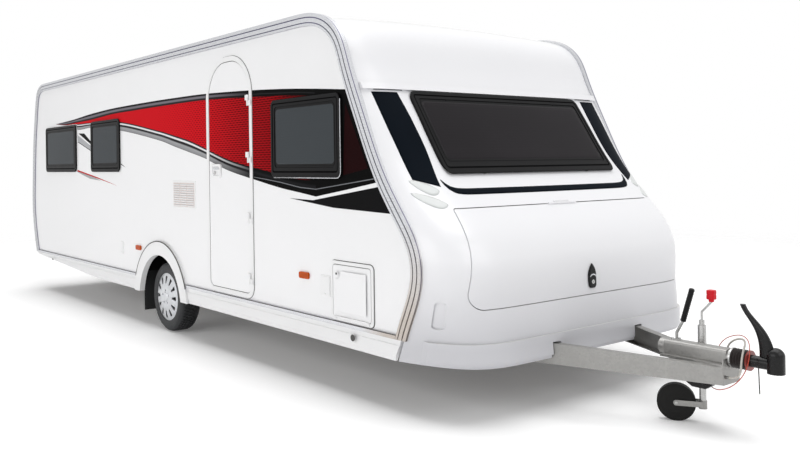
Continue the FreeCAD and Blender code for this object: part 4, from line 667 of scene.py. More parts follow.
# Vinyl films on the side walls: a red sweep between two borders, and small accents by the windows.
graphic = {
    "rowsInEachBand": 3, "step": 0.04, "rearEdge": -3.6, "frontEdge": 1.998,
    "top": [(-3.62, 2.093), (-2.991, 2.116), (-2.417, 2.15), (-1.757, 2.173), (-0.794, 2.18), (-0.136, 2.177),
            (0.35, 2.17), (1.093, 2.142), (1.616, 2.113), (2.064, 2.078), (2.419, 2.046)],
    "redTop": [(-3.62, 2.091), (-3.244, 2.07), (-2.91, 2.076), (-2.419, 2.085), (-1.759, 2.114),
               (-1.161, 2.119), (-0.567, 2.122), (0.348, 2.118), (1.092, 2.089), (1.546, 2.068),
               (1.813, 2.053), (2.45, 1.985)],
    "redBottom": [(-3.62, 2.0905), (-3.244, 2.066), (-2.9, 2.062), (-2.825, 2.058), (-2.386, 2.054),
                  (-1.529, 2.02), (-0.574, 1.889), (-0.25, 1.834), (0.053, 1.779), (0.336, 1.709),
                  (0.739, 1.609), (1.07, 1.552), (1.419, 1.502), (1.667, 1.465), (1.926, 1.442),
                  (1.998, 1.44)],
    "bottom": [(-3.62, 2.09), (-3.244, 2.062), (-2.9, 2.056), (-2.86, 1.996), (-2.388, 1.999),
               (-1.532, 1.932), (-0.577, 1.801), (-0.254, 1.736), (0.049, 1.678), (0.334, 1.622),
               (0.737, 1.521), (1.068, 1.462), (1.529, 1.389), (1.797, 1.358), (1.998, 1.334)],
    "frontTop": [(1.998, 2.084), (2.064, 2.078), (2.419, 2.046), (2.4191, 2.045), (2.7395, 1.4485)],
    "frontBottom": [(1.998, 1.334), (2.394, 1.393), (2.74, 1.448)],
    "frontPlaces": [1.998, 2.06, 2.14, 2.22, 2.3, 2.36, 2.419, 2.48, 2.55, 2.62, 2.68, 2.738],
    "doorLeaf": (0.428, 1.095), "doorBand": (0.3805, 1.1405), "doorPlane": 1.254,
}


def curveHeight(points, x):
    # Height of a smooth curve through points that run rear to front.
    index = 0
    while index < len(points) - 2 and points[index + 1][0] < x:
        index += 1
    start, end = points[index], points[index + 1]
    before = points[index - 1] if index > 0 else start
    after = points[index + 2] if index < len(points) - 2 else end
    length = end[0] - start[0]
    share = min(max((x - start[0]) / length, 0.0), 1.0)
    slopeIn = (end[1] - before[1]) / (end[0] - before[0]) * length
    slopeOut = (after[1] - start[1]) / (after[0] - start[0]) * length
    square, cube = share ** 2, share ** 3
    return ((2 * cube - 3 * square + 1) * start[1] + (cube - 2 * square + share) * slopeIn
            + (3 * square - 2 * cube) * end[1] + (cube - square) * slopeOut)


def straightHeight(points, x):
    for start, end in zip(points, points[1:]):
        if x <= end[0]:
            return start[1] + (end[1] - start[1]) * (x - start[0]) / (end[0] - start[0])
    return points[-1][1]


def filmSlab(work, rows, rowValues, side, wallPlane, uvLayer):
    # One closed thin film from rows of (x, z) points; x goes to U and each row's value to V.
    sheets, prints = [], {}
    for depth in (body["filmLift"], body["filmProud"]):
        sheets.append([[work.verts.new((x, side * (wallPlane + depth), z)) for x, z in row] for row in rows])
        for row, value in zip(sheets[-1], rowValues):
            prints.update((vertex, (vertex.co.x, value)) for vertex in row)
    for face in closeSheets(work, sheets):
        for loop in face.loops:
            loop[uvLayer].uv = prints[loop.vert]


def sweepRows(x0, x1):
    # Rows from the bottom edge to the top edge, three bands with their own rows.
    count = max(2, round((x1 - x0) / graphic["step"]))
    places = [x0 + (x1 - x0) * index / count for index in range(count + 1)]
    edges = [[curveHeight(graphic[name], x) for x in places]
             for name in ("bottom", "redBottom", "redTop", "top")]
    rows, values = [], []
    parts = graphic["rowsInEachBand"]
    for bandIndex in range(3):
        for step in range(parts):
            share = step / parts
            rows.append([(x, low + (high - low) * share)
                         for x, low, high in zip(places, edges[bandIndex], edges[bandIndex + 1])])
            values.append(bandIndex + share)
    rows.append(list(zip(places, edges[3])))
    values.append(3.0)
    return rows, values


def frontRows():
    # The front end of the sweep, printed all over as its middle band.
    low = [straightHeight(graphic["frontBottom"], x) for x in graphic["frontPlaces"]]
    high = [straightHeight(graphic["frontTop"], x) for x in graphic["frontPlaces"]]
    shares = (0, 0.25, 0.5, 0.75, 1)
    rows = [[(x, a + (b - a) * share) for x, a, b in zip(graphic["frontPlaces"], low, high)]
            for share in shares]
    return rows, [1 + share for share in shares]


third = 1 / 3
black, dark, grey, pale, slate = "#060606", "#242325", "#8B8C8E", "#E4E4E6", "#77737A"
sweepPrint = {
    # place across the sweep from its bottom to its top, and the colour there; red goes over the middle third
    "rear": [(0.0, "#3A3A3C"), (third * 0.06, grey), (third * 0.4, "#A3A4A6"), (third * 0.5, dark),
             (third * 0.66, dark), (third * 0.71, pale), (third * 0.84, pale), (third * 0.88, dark),
             (third, dark), (third * 2, dark), (third * 2.25, dark), (third * 2.42, slate),
             (third * 2.6, slate), (third * 2.75, dark), (1.0, "#1A1A1C")],
    "front": [(0.0, black), (third * 0.4, black), (third * 0.62, "#1C1C1E"), (third * 0.8, black),
              (third * 2.3, black), (third * 2.4, "#2C2C2E"), (third * 2.5, black), (1.0, black)],
    "red": "#C8121D", "deepRed": "#980A12", "mark": "#4A0508", "markStrength": 0.9,
    # from x to x: rear borders into front ones, marks growing, red deepening, red fading to black
    "borderChange": (0.35, 1.15), "markGrowth": (-1.0, 1.2), "deepening": (0.3, 1.5), "fading": (1.5, 1.94),
    "rowPitch": 0.0175, "markPitch": 0.055, "markSize": 0.42, "markSlope": (0.55, 1.1),
}


def makeSweepVinyl():
    # Printed vinyl: red that darkens towards the front under rows of scale marks, in grey and black borders.
    material, tree, shader, place = startMaterial("printedSweepVinyl", Roughness=0.5, Specular_IOR_Level=0.02)
    printed = addNode(tree, "ShaderNodeSeparateXYZ", {
        "Vector": addNode(tree, "ShaderNodeTexCoord").outputs["UV"]}).outputs
    along, value = printed["X"], printed["Y"]
    height = addNode(tree, "ShaderNodeSeparateXYZ", {"Vector": place}).outputs["Z"]
    ramps = []
    for end in ("rear", "front"):
        across = addNode(tree, "ShaderNodeMath", {0: value, 1: 3.0}, operation="DIVIDE")
        node = addNode(tree, "ShaderNodeValToRGB", {"Fac": across})
        colours = node.color_ramp.elements
        while len(colours) > 1:
            colours.remove(colours[-1])
        stops = sweepPrint[end]
        colours[0].position, colours[0].color = stops[0][0], srgb(stops[0][1])
        for position, colour in stops[1:]:
            colours.new(position).color = srgb(colour)
        ramps.append(node)
    shares = {}
    for name in ("borderChange", "markGrowth", "deepening", "fading"):
        start, end = sweepPrint[name]
        shares[name] = addNode(tree, "ShaderNodeMapRange",
                               {"Value": along, "From Min": start, "From Max": end})
    border = addNode(tree, "ShaderNodeMix", {0: shares["borderChange"], mixA: ramps[0], mixB: ramps[1]},
                     data_type="RGBA")
    # Scale marks: staggered lozenges that grow from nothing to half the row.
    row = addNode(tree, "ShaderNodeMath", {0: height, 1: sweepPrint["rowPitch"]}, operation="DIVIDE")
    whole = addNode(tree, "ShaderNodeMath", {0: row}, operation="FLOOR")
    odd = addNode(tree, "ShaderNodeMath", {0: whole, 1: 2.0}, operation="MODULO")
    column = addNode(tree, "ShaderNodeMath", {0: along, 1: sweepPrint["markPitch"]}, operation="DIVIDE")
    column = addNode(tree, "ShaderNodeMath", {0: odd, 1: 0.5, 2: column}, operation="MULTIPLY_ADD")
    away = []
    for cell in (column, row):
        within = addNode(tree, "ShaderNodeMath", {0: cell}, operation="FRACT")
        within = addNode(tree, "ShaderNodeMath", {0: within, 1: 0.5}, operation="SUBTRACT")
        away.append(addNode(tree, "ShaderNodeMath", {0: within}, operation="ABSOLUTE"))
    alongSlope, acrossSlope = sweepPrint["markSlope"]
    reach = addNode(tree, "ShaderNodeMath", {0: away[1], 1: acrossSlope}, operation="MULTIPLY")
    reach = addNode(tree, "ShaderNodeMath", {0: away[0], 1: alongSlope, 2: reach}, operation="MULTIPLY_ADD")
    size = addNode(tree, "ShaderNodeMath", {0: shares["markGrowth"], 1: sweepPrint["markSize"]},
                   operation="MULTIPLY")
    inMark = addNode(tree, "ShaderNodeMath", {0: size, 1: reach}, operation="SUBTRACT")
    mark = addNode(tree, "ShaderNodeMapRange", {
        "Value": inMark, "From Min": -0.02, "From Max": 0.04, "To Max": sweepPrint["markStrength"]})
    red = addNode(tree, "ShaderNodeMix", {
        0: shares["deepening"], mixA: srgb(sweepPrint["red"]), mixB: srgb(sweepPrint["deepRed"])},
        data_type="RGBA")
    red = addNode(tree, "ShaderNodeMix", {0: mark, mixA: red, mixB: srgb(sweepPrint["mark"])},
                  data_type="RGBA")
    red = addNode(tree, "ShaderNodeMix", {0: shares["fading"], mixA: red, mixB: srgb(black)},
                  data_type="RGBA")
    tone = addNode(tree, "ShaderNodeMix", {0: band(tree, value, 1.0, 2.0, 0.012), mixA: border, mixB: red},
                   data_type="RGBA")
    peel = addNode(tree, "ShaderNodeTexNoise", {"Vector": place, "Scale": grainScale / 4.5})
    bump = addNode(tree, "ShaderNodeBump", {"Strength": 0.3, "Distance": 0.00004, "Height": peel})
    fillInputs(tree, shader, {"Base Color": tone, "Normal": bump})
    return material


vinyls = {
    "blackVinyl": ("#141415", "#0E0E0F"), "greyVinyl": ("#A4A6A8", "#B4B6B8"),
    "paleVinyl": ("#B9BBBD", "#A9ABAE"),
    "maroonVinyl": ("#200507", "#160304"), "redVinyl": ("#C2141F", "#AE101A"),
    "navyVinyl": ("#0C131B", "#080D13"),
    # The line vinyl also draws the painted shadow line under the brow.
    "lineVinylAndShadowLine": ("#84868A", "#6D6F73"), "ventMeshShade": ("#E2DAD8", "#D8CFCC"),
}


def makeFlatVinyl(name, colour, shade):
    # Cut vinyl in one colour: print tone varies slightly, with a light texture from the roller.
    material, tree, shader, place = startMaterial(name, Roughness=0.5, Specular_IOR_Level=0.02)
    drift = addNode(tree, "ShaderNodeTexNoise", {"Vector": place, "Scale": grainScale / 250, "Detail": 3.0})
    tone = addNode(tree, "ShaderNodeMix", {0: drift, mixA: srgb(colour), mixB: srgb(shade)}, data_type="RGBA")
    roller = addNode(tree, "ShaderNodeTexNoise", {"Vector": place, "Scale": grainScale / 4.2})
    bump = addNode(tree, "ShaderNodeBump", {"Strength": 0.3, "Distance": 0.00004, "Height": roller})
    fillInputs(tree, shader, {"Base Color": tone, "Normal": bump})
    return material


sweepVinyl = makeSweepVinyl()
vinyl = {name: makeFlatVinyl(name, *tones) for name, tones in vinyls.items()}
doorStart, doorEnd = graphic["doorBand"]
films = {"sweepFilmDoor": (-1, graphic["doorPlane"], "entrance_door", [sweepRows(*graphic["doorLeaf"])])}
for side, label in sides:
    spans = [(graphic["rearEdge"], graphic["frontEdge"])]
    if side < 0:
        spans = [(graphic["rearEdge"], doorStart), (doorEnd, graphic["frontEdge"])]
    films["sweepFilm" + label] = (side, body["halfWidth"], "caravan", [sweepRows(*span) for span in spans]
                                  + [frontRows()])
for name, (side, plane, bodyName, slabs) in films.items():
    work = bmesh.new()
    uvLayer = work.loops.layers.uv.new("print")
    for rows, values in slabs:
        filmSlab(work, rows, values, side, plane, uvLayer)
    addPiece(name, toMesh(work), sweepVinyl, bodyName)

accents = {
    # vinyl, outline in (x, z), and how many films lie beneath
    "wedge": ("blackVinyl", [(1.661, 1.315), (1.96, 1.308), (2.766, 1.421), (2.86, 1.244), (2.206, 1.263)],
              0),
    "maroonPanel": ("maroonVinyl", [(2.353, 1.962), (2.322, 1.483), (2.589, 1.527)], 1),
    "lowerLine": ("lineVinylAndShadowLine", [(1.15, 1.464), (1.35, 1.445), (1.55, 1.424), (1.798, 1.392), (1.999, 1.382),
                                (2.664, 1.46), (2.664, 1.466), (1.999, 1.388), (1.798, 1.399), (1.55, 1.431),
                                (1.35, 1.451), (1.15, 1.468)], 1),
    "darkSweep": ("blackVinyl", [(-2.809, 1.95), (-2.395, 1.807), (-2.394, 1.837), (-2.62, 1.943)], 0),
    "paleSweep": ("paleVinyl", [(-2.847, 1.934), (-2.833, 1.856), (-2.397, 1.743), (-2.396, 1.793)], 0),
    "paleSweepEdge": ("blackVinyl", [(-2.833, 1.856), (-2.833, 1.848), (-2.397, 1.735), (-2.397, 1.743)], 0),
    "redStroke": ("redVinyl", [(-2.863, 1.532), (-2.863, 1.514), (-2.2, 1.433), (-1.65, 1.363),
                               (-2.2, 1.446)], 0),
    "greyStroke": ("greyVinyl", [(-2.9, 1.512), (-2.457, 1.432), (-2.12, 1.412), (-2.3, 1.446),
                                 (-2.863, 1.514)], 0),
    "tick": ("blackVinyl", [(-1.544, 1.594), (-1.544, 1.582), (-1.417, 1.553)], 0),
}
for side, label in sides:
    for name, (tone, outline, layer) in accents.items():
        depths = (layer * body["filmProud"] + body["filmLift"],
                  (layer + 1) * body["filmProud"] + 2 * layer * body["filmLift"])
        loops = [[(x, side * (body["halfWidth"] + depth), z) for x, z in outline] for depth in depths]
        addPiece(name + label, stackedMesh(loops), vinyl[tone], "caravan")
print("stage: side films")


# Films on the nose: cast onto the moulded panels along the caravan's length.
def surfaceTree(names):
    joined = bmesh.new()
    for name in names:
        joined.from_mesh(nodes[name].data)
    search = BVHTree.FromBMesh(joined)
    joined.free()
    return search


noseSearch = surfaceTree(["front_cap", "front_window_panel", "front_moulding", "locker_lid"])
rayStart = 6  # ahead of the nose


def nosePoint(search, y, z, proud):
    # The point that stands proud of the nose at (y, z).
    hit, normal, _, _ = search.ray_cast(Vector((rayStart, y, z)), Vector((-1, 0, 0)))
    if normal.x < 0:
        normal = -normal
    return hit + normal * proud


def noseFilm(name, rows, material, lift=0.0002, rises=None):
    # A closed slab over the nose through rows of (y, z) points, with the height of each row.
    work = bmesh.new()
    sheets = []
    for heights in ([lift] * len(rows), rises or [0.0012] * len(rows)):
        sheets.append([[work.verts.new(nosePoint(noseSearch, y, z, height)) for y, z in row]
                       for row, height in zip(rows, heights)])
    closeSheets(work, sheets)
    addPiece(name, toMesh(work), material, "caravan", smooth=True)


noseStripe = {
    "outer": [(-1.149, 2.03), (-1.138, 1.838), (-1.126, 1.642), (-1.123, 1.453)],
    "inner": [(-0.953, 2.03), (-0.933, 1.84), (-0.928, 1.628), (-0.968, 1.406)],
    "down": 44, "across": 12,
}
underline = {
    "upper": [(-0.937, 1.452), (-0.912, 1.421), (-0.875, 1.402), (-0.8, 1.3935), (-0.6, 1.3915), (0, 1.3905)],
    "lower": [(-0.942, 1.449), (-0.93, 1.404), (-0.893, 1.37), (-0.82, 1.356), (-0.6, 1.353), (0, 1.352)],
    "along": 60, "across": 3,
}
# Painted shadow: a thin grey line under the lip of the front cap.
browShadowLine = {"outer": -1.128, "length": 0.225, "heights": (2.0425, 2.0455, 2.0488), "along": 12}
lensSteps = {
    # outer and inner end in (y, z), thickness
    "upper": ((-1.146, 1.447), (-1.0, 1.39), 0.078), "lower": ((-1.17, 1.37), (-1.005, 1.305), 0.072),
}
lensShape = {"down": 6, "across": 16, "blunt": 0.7, "rise": 0.005, "lift": 0.0006, "sharp": 6}


def spread(first, last, down, across):
    # Rows of points that run from one curve to another.
    rows = []
    for step in range(down + 1):
        start, end = pathPoint(first, step / down), pathPoint(last, step / down)
        rows.append([tuple(start.lerp(end, index / across)) for index in range(across + 1)])
    return rows


for side, label in ((1, "Right"), (-1, "Left")):  # the curves are given for the right side
    rows = spread(noseStripe["outer"], noseStripe["inner"], noseStripe["down"], noseStripe["across"])
    noseFilm("noseStripe" + label, [[(side * y, z) for y, z in row] for row in rows], vinyl["navyVinyl"])
    shares = [step / browShadowLine["along"] for step in range(browShadowLine["along"] + 1)]
    noseFilm("browShadowLine" + label, [[(side * (browShadowLine["outer"] + browShadowLine["length"] * share), z)
                                    for share in shares] for z in browShadowLine["heights"]], vinyl["lineVinylAndShadowLine"])
upper, lower = ([*half, *((-y, z) for y, z in reversed(half[:-1]))] for half in
                (underline["upper"], underline["lower"]))
noseFilm("windowUnderline", spread(upper, lower, underline["along"], underline["across"]), vinyl["navyVinyl"])

# Moulded lens-shaped steps beside the window's underline, greyed with painted shade.
for name, (outer, inner, thick) in lensSteps.items():
    for side, label in ((1, "Right"), (-1, "Left")):
        rows, rises = [], []
        for down in range(lensShape["down"] + 1):
            share = down / lensShape["down"]
            row = []
            for index in range(lensShape["across"] + 1):
                t = index / lensShape["across"]
                y, z = outer[0] + (inner[0] - outer[0]) * t, outer[1] + (inner[1] - outer[1]) * t
                full = thick * math.sin(math.pi * (t * 0.94 + 0.03)) ** lensShape["blunt"]
                row.append((side * y, z + full * (0.25 - share)))
            rows.append(row)
            rises.append(lensShape["lift"] + lensShape["rise"] * share * (1 - share ** lensShape["sharp"]))
        noseFilm("noseStep" + name.title() + label, rows, finish["gelcoatStepShade"],
                 body["filmLift"], rises)
print("stage: nose films and steps")


# A geometry group that repeats a piece: along a step, about an axis, or both; ends as one plain mesh.
def makeRepeater():
    tree = bpy.data.node_groups.new("repeatPiece", "GeometryNodeTree")
    face = tree.interface
    face.new_socket("Geometry", in_out="INPUT", socket_type="NodeSocketGeometry")
    for name, kind in (("Count", "NodeSocketInt"), ("Step", "NodeSocketVector"), ("Turn", "NodeSocketFloat"),
                       ("Axis", "NodeSocketVector"), ("Centre", "NodeSocketVector"),
                       ("Material", "NodeSocketMaterial")):
        face.new_socket(name, in_out="INPUT", socket_type=kind)
    face.new_socket("Geometry", in_out="OUTPUT", socket_type="NodeSocketGeometry")
    given = addNode(tree, "NodeGroupInput").outputs
    index = addNode(tree, "GeometryNodeInputIndex")
    shift = addNode(tree, "ShaderNodeVectorMath", {0: given["Step"], "Scale": index}, operation="SCALE")
    place = addNode(tree, "ShaderNodeVectorMath", {0: shift, 1: given["Centre"]}, operation="ADD")
    back = addNode(tree, "ShaderNodeVectorMath", {0: given["Centre"], "Scale": -1.0}, operation="SCALE")
    centred = addNode(tree, "GeometryNodeTransform", {"Geometry": given["Geometry"], "Translation": back})
    points = addNode(tree, "GeometryNodePoints", {"Count": given["Count"], "Position": place})
    angle = addNode(tree, "ShaderNodeMath", {0: index, 1: given["Turn"]}, operation="MULTIPLY")
    spin = addNode(tree, "FunctionNodeAxisAngleToRotation", {"Axis": given["Axis"], "Angle": angle})
    copies = addNode(tree, "GeometryNodeInstanceOnPoints",
                     {"Points": points, "Instance": centred, "Rotation": spin})
    real = addNode(tree, "GeometryNodeRealizeInstances", {"Geometry": copies})
    painted = addNode(tree, "GeometryNodeSetMaterial", {"Geometry": real, "Material": given["Material"]})
    addNode(tree, "NodeGroupOutput", {"Geometry": painted})
    return tree


repeater = makeRepeater()


def repeatMesh(mesh, material, count, step=(0, 0, 0), turn=0.0, axis=(0, 1, 0), centre=(0, 0, 0)):
    carrier = bpy.data.objects.new("carrier", mesh)
    bpy.context.scene.collection.objects.link(carrier)
    modifier = carrier.modifiers.new("repeat", "NODES")
    modifier.node_group = repeater
    values = {"Count": count, "Step": step, "Turn": turn, "Axis": axis, "Centre": centre,
              "Material": material}
    for item in repeater.interface.items_tree:
        if item.in_out == "INPUT" and item.name in values:
            modifier[item.identifier] = values[item.name]
    shown = carrier.evaluated_get(bpy.context.evaluated_depsgraph_get())
    result = bpy.data.meshes.new_from_object(shown)
    bpy.data.objects.remove(carrier)
    return result


def joinMeshes(meshes):
    work = bmesh.new()
    for mesh in meshes:
        work.from_mesh(mesh)
    return toMesh(work, recalc=False)


def plateLoops(x0, x1, y0, y1, z0, z1, radius, bevel):
    # Loops of a plate on the door side with round corners in (x, z), from y0 out to y1, with a bevelled face.
    loops = []
    for inset, depth in ((0, y0), (0, y1 - bevel), (bevel * 0.3, y1 - bevel * 0.3), (bevel, y1)):
        loops.append([(x, -depth, z) for x, z in
                      roundedLoop(x0 + inset, x1 - inset, z0 + inset, z1 - inset,
                                  max(radius - inset, 0.0004))])
    return loops


# Windows: moulded acrylic panes with stepped borders; the side windows' panes are one piece.
windows = {
    # side, rear edge, length, sill, top
    "bedRight": (-1, -3.9745, 1.105, 1.507, 2.056), "bathRight": (-1, -2.3795, 0.83, 1.507, 2.06),
    "loungeRight": (-1, 1.4325, 0.875, 1.466, 2.037), "bedLeft": (1, -3.9745, 1.105, 1.507, 2.056),
    "kitchenLeft": (1, -1.7245, 0.83, 1.507, 2.06), "loungeLeft": (1, 1.4325, 0.875, 1.466, 2.037),
}
curvedPanes = {
    # half width, sill, top, way (1 on the nose, -1 on the tail), acrylic
    "frontPane": (0.868, 1.487, 2.046, 1, "smokedAcrylicFront"),
    "rearPane": (0.56, 1.48, 2.03, -1, "smokedAcrylicSide"),
}
paneBorder = {
    # inset, height over the wall, material of the ring that follows: 0 frame, 1 pane, 2 gap, black as painted
    # shade in the border's grooves
    "steps": [(0.001, 0.0122, 0), (0.0015, 0.0165, 0), (0.005, 0.0182, 0), (0.025, 0.0182, 2),
              (0.0265, 0.0142, 2), (0.0325, 0.0142, 2), (0.034, 0.0166, 0), (0.052, 0.0166, 2),
              (0.0535, 0.0118, 2), (0.0605, 0.0118, 2), (0.062, 0.0138, 0), (0.071, 0.0138, 1),
              (0.078, 0.0156, 1)],
    # rings behind a curved pane that follow the panel beneath, and rings over its face
    "back": [(0.24, 0.0122, 0), (0.19, 0.0122, 0), (0.14, 0.0122, 0), (0.1, 0.0122, 0), (0.05, 0.0122, 0)],
    "face": [(0.1, 0.0166, 1), (0.14, 0.0168, 1), (0.19, 0.017, 1), (0.24, 0.017, 1)],
    "radius": 0.046, "paneRadius": 0.03, "lowerWidening": 1.35, "panelPlane": 0.018,
    # inset up to which the lower edge widens, and how far the steps further in lie below their inset
    "wideningEnds": 0.08, "furtherIn": 0.03, "middleGap": 0.004, "upperGap": 0.02,
    "roundFrom": 0.05, "roundTo": 0.2, "leastRadius": 0.012, "curvedRadius": 0.01,
    "rayFrom": 8, "rayInset": 0.012, "rayStep": 0.008, "uprightParts": 24, "levelParts": 12,
}
paneSearch = surfaceTree(["window_panes"])


def paintRings(faces, around, kinds):
    # Each ring of faces takes its material; the closing face at the back is frame and the one in front pane.
    for index, face in enumerate(faces):
        ring = index // around
        face.material_index = kinds[ring] if ring < len(kinds) - 1 else index - around * ring


def addPane(work, loops, kinds):
    before = len(work.faces)
    stackLoops(work, loops)
    work.faces.ensure_lookup_table()
    paintRings(work.faces[before:], len(loops[0]), kinds)


def splitEdges(loop):
    # The outline with more points on its straight runs, the same number for each ring of a pane.
    corner = len(loop) // 4
    dense = []
    for index, point in enumerate(loop):
        after = loop[(index + 1) % len(loop)]
        parts = 1
        if index % corner == corner - 1:
            parts = paneBorder["uprightParts" if index // corner % 2 == 0 else "levelParts"]
        for step in range(parts):
            dense.append((point[0] + (after[0] - point[0]) * step / parts,
                          point[1] + (after[1] - point[1]) * step / parts))
    return dense


def curvedPanePoint(y, z, half, sill, top, way):
    # A point on the panel beneath, carried on straight outside its edges, where no ray meets it.
    hit, reach = None, paneBorder["rayInset"]
    while hit is None:  # near a round corner the ray starts further in
        safeY = min(max(y, -half + reach), half - reach)
        safeZ = min(max(z, sill + reach), top - reach)
        start = Vector((way * paneBorder["rayFrom"], safeY, safeZ))
        hit, normal, _, _ = paneSearch.ray_cast(start, Vector((-way, 0, 0)))
        reach += paneBorder["rayStep"]
    point = hit + Vector((0, y - safeY, z - safeZ))
    point.x -= ((y - safeY) * normal.y + (z - safeZ) * normal.z) / normal.x
    return point


def curvedPane(half, sill, top, way):
    start = Vector((way * paneBorder["rayFrom"], 0.01, (sill + top) / 2))
    facing = paneSearch.ray_cast(start, Vector((-way, 0, 0)))[1]
    facing = -facing if facing.x * way < 0 else facing
    inner = (top - sill) / 2 - paneBorder["middleGap"]
    steps = paneBorder["back"] + paneBorder["steps"] + paneBorder["face"]
    loops = []
    for inset, height, _ in steps:
        widens = inset < paneBorder["wideningEnds"]
        lower = min(inset * paneBorder["lowerWidening"] if widens else inset + paneBorder["furtherIn"], inner)
        upper = min(inset, inner - paneBorder["upperGap"])
        rounds = paneBorder["roundFrom"] < inset < paneBorder["roundTo"]
        radius = max(paneBorder["radius"] - inset, paneBorder["paneRadius" if rounds else "curvedRadius"])
        outline = roundedLoop(-half + inset, half - inset, sill + lower, top - upper, radius)
        loops.append([curvedPanePoint(y, z, half, sill, top, way)
                      + facing * (height - paneBorder["panelPlane"])
                      for y, z in splitEdges(outline)])
    work = bmesh.new()
    addPane(work, loops, [kind for _, _, kind in steps])
    return toMesh(work)


work = bmesh.new()
for side, rear, length, sill, top in windows.values():
    loops = []
    for inset, height, _ in paneBorder["steps"]:
        rounds = inset > paneBorder["roundFrom"]
        radius = max(paneBorder["radius"] - inset, paneBorder["paneRadius" if rounds else "leastRadius"])
        outline = roundedLoop(rear + inset, rear + length - inset, sill + inset * paneBorder["lowerWidening"],
                              top - inset, radius)
        loops.append([(u, side * (body["halfWidth"] + height), v) for u, v in outline])
    addPane(work, loops, [kind for _, _, kind in paneBorder["steps"]])
paneMeshes = {"sidePanes": (toMesh(work), "smokedAcrylicSide")}
for name, (*shape, acrylic) in curvedPanes.items():
    paneMeshes[name] = (curvedPane(*shape), acrylic)
for name, (mesh, acrylic) in paneMeshes.items():
    kinds = [polygon.material_index for polygon in mesh.polygons]
    pane = addPiece(name, mesh, finish["charcoalWindowFrame"], "caravan")
    mesh.materials.append(finish[acrylic])
    mesh.materials.append(finish["blackRubberAndGrooveShade"])
    for polygon, kind in zip(mesh.polygons, kinds):
        polygon.material_index = kind
    if name == "sidePanes":
        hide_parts("window_panes")
print("stage: window panes")


# Tyres: a turned carcass with moulded sidewall rings, and tread blocks set round it.
tyre = {
    "centre": (-0.6045, 0.325), "face": 1.19, "width": 0.205, "radius": 0.325, "crown": 0.317, "sides": 128,
    # radius, distance in from the outer face
    "carcass": [(0.2, 0.03), (0.206, 0.016), (0.214, 0.011), (0.2215, 0.0125), (0.2235, 0.008),
                (0.229, 0.0065), (0.2315, 0.0035), (0.25, 0.001), (0.262, 0.0004), (0.2635, 0.0016),
                (0.267, 0.0016), (0.2685, 0.0004), (0.282, 0.0012), (0.294, 0.005), (0.2965, 0.0045),
                (0.299, 0.0075), (0.3085, 0.015), (0.3165, 0.026)],
    # from, to across the width as shares, and how far each row is shifted round
    "rows": [(0.1, 0.235, 0.0), (0.265, 0.385, 0.35), (0.415, 0.585, 0.7), (0.615, 0.735, 0.35),
             (0.765, 0.9, 0.0)],
    # how far below the radius each layer of a block lies, and its shrinkage
    "layers": [(0.0105, 0.0), (0.0012, 0.02), (0.0, 0.08)],
    "pitches": 64, "gapShare": 0.2, "skew": 0.25, "shoulderFrom": 0.62, "shoulderDrop": 0.0525,
}


def treadPitch(centre, inward, pitch):
    # The blocks of one pitch across the tread; the outer ones drop towards the shoulders.
    other = inward.cross(up)
    gap = tyre["gapShare"]
    work = bmesh.new()
    for start, end, shift in tyre["rows"]:
        middle = (start + end) / 2
        loops = []
        for below, shrink in tyre["layers"]:
            loop = []
            for share, turnShare in ((start, 0), (end, 0), (end, 1), (start, 1)):
                width = middle + (share - middle) * (1 - shrink)
                drop = tyre["shoulderDrop"] * max(abs(width - 0.5) * 2 - tyre["shoulderFrom"], 0)
                turned = shift + tyre["skew"] * (width - 0.5)
                turned += gap + (1 - gap) * (turnShare + (0.5 - turnShare) * shrink)
                outward = up * math.cos(turned * pitch) + other * math.sin(turned * pitch)
                loop.append(centre + inward * (width * tyre["width"])
                            + outward * (tyre["radius"] - below - drop))
            loops.append(loop)
        stackLoops(work, loops)
    return toMesh(work)


for side, label in ((-1, "right"), (1, "left")):
    x, z = tyre["centre"]
    centre, inward = Vector((x, side * tyre["face"], z)), Vector((0, -side, 0))
    carcass, width = tyre["carcass"], tyre["width"]
    profile = carcass + [(tyre["crown"], width / 2)] + [(r, width - d) for r, d in reversed(carcass)]
    shell = stackedMesh(turnedLoops(profile, centre, inward, up, tyre["sides"]), joined=True)
    pitch = 2 * math.pi / tyre["pitches"]
    tread = repeatMesh(treadPitch(centre, inward, pitch), finish["tyreRubber"], tyre["pitches"], turn=pitch,
                       axis=inward, centre=centre)
    rubber = addPiece("treadedTyre_" + label, joinMeshes([shell, tread]), finish["tyreRubber"],
                      "wheel_" + label)
    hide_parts("tyre_" + label)
print("stage: tyres")


# Locker lid handle: black shield with a bright crescent and a lock.
lidHandle = {
    "halfWidth": 0.037,
    # share of the height, share of the half width
    "outline": [(0, 0.5), (0.03, 0.75), (0.1, 0.95), (0.3, 1.0), (0.55, 1.0), (0.7, 0.86), (0.84, 0.55),
                (0.94, 0.24), (1.0, 0.0)],
    "middle": 0.42, "layers": [(1.0, 0.0025), (1.0, 0.009), (0.95, 0.0125), (0.8, 0.0145)],  # scale, height
    # the crescent's outer and inner arc: share of the height, half width, rise
    "crescent": [(0.42, 0.034, 0.026), (0.405, 0.029, 0.02)], "arc": (20, 160, 10),
    "crescentHeights": (0.012, 0.0162),
    "lockAt": 0.25, "lock": [(0.014, 0.012), (0.014, 0.0165), (0.012, 0.0172)],  # radius, height
    "keySlot": (0.0016, 0.007, 0.0012), "keySlotHeights": (0.0165, 0.0175),
}
lidSearch = surfaceTree(["locker_lid"])
lidLow, lidHigh = (corner[2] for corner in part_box("lid_handle"))


def lidHeight(share):
    return lidLow + (lidHigh - lidLow) * share


def lidPart(name, layers, material):
    # A closed piece from loops of (y, z), each with its height over the lid.
    loops = [[nosePoint(lidSearch, y, z, height) for y, z in loop] for loop, height in layers]
    return addPiece(name, stackedMesh(loops), material, "locker_lid")


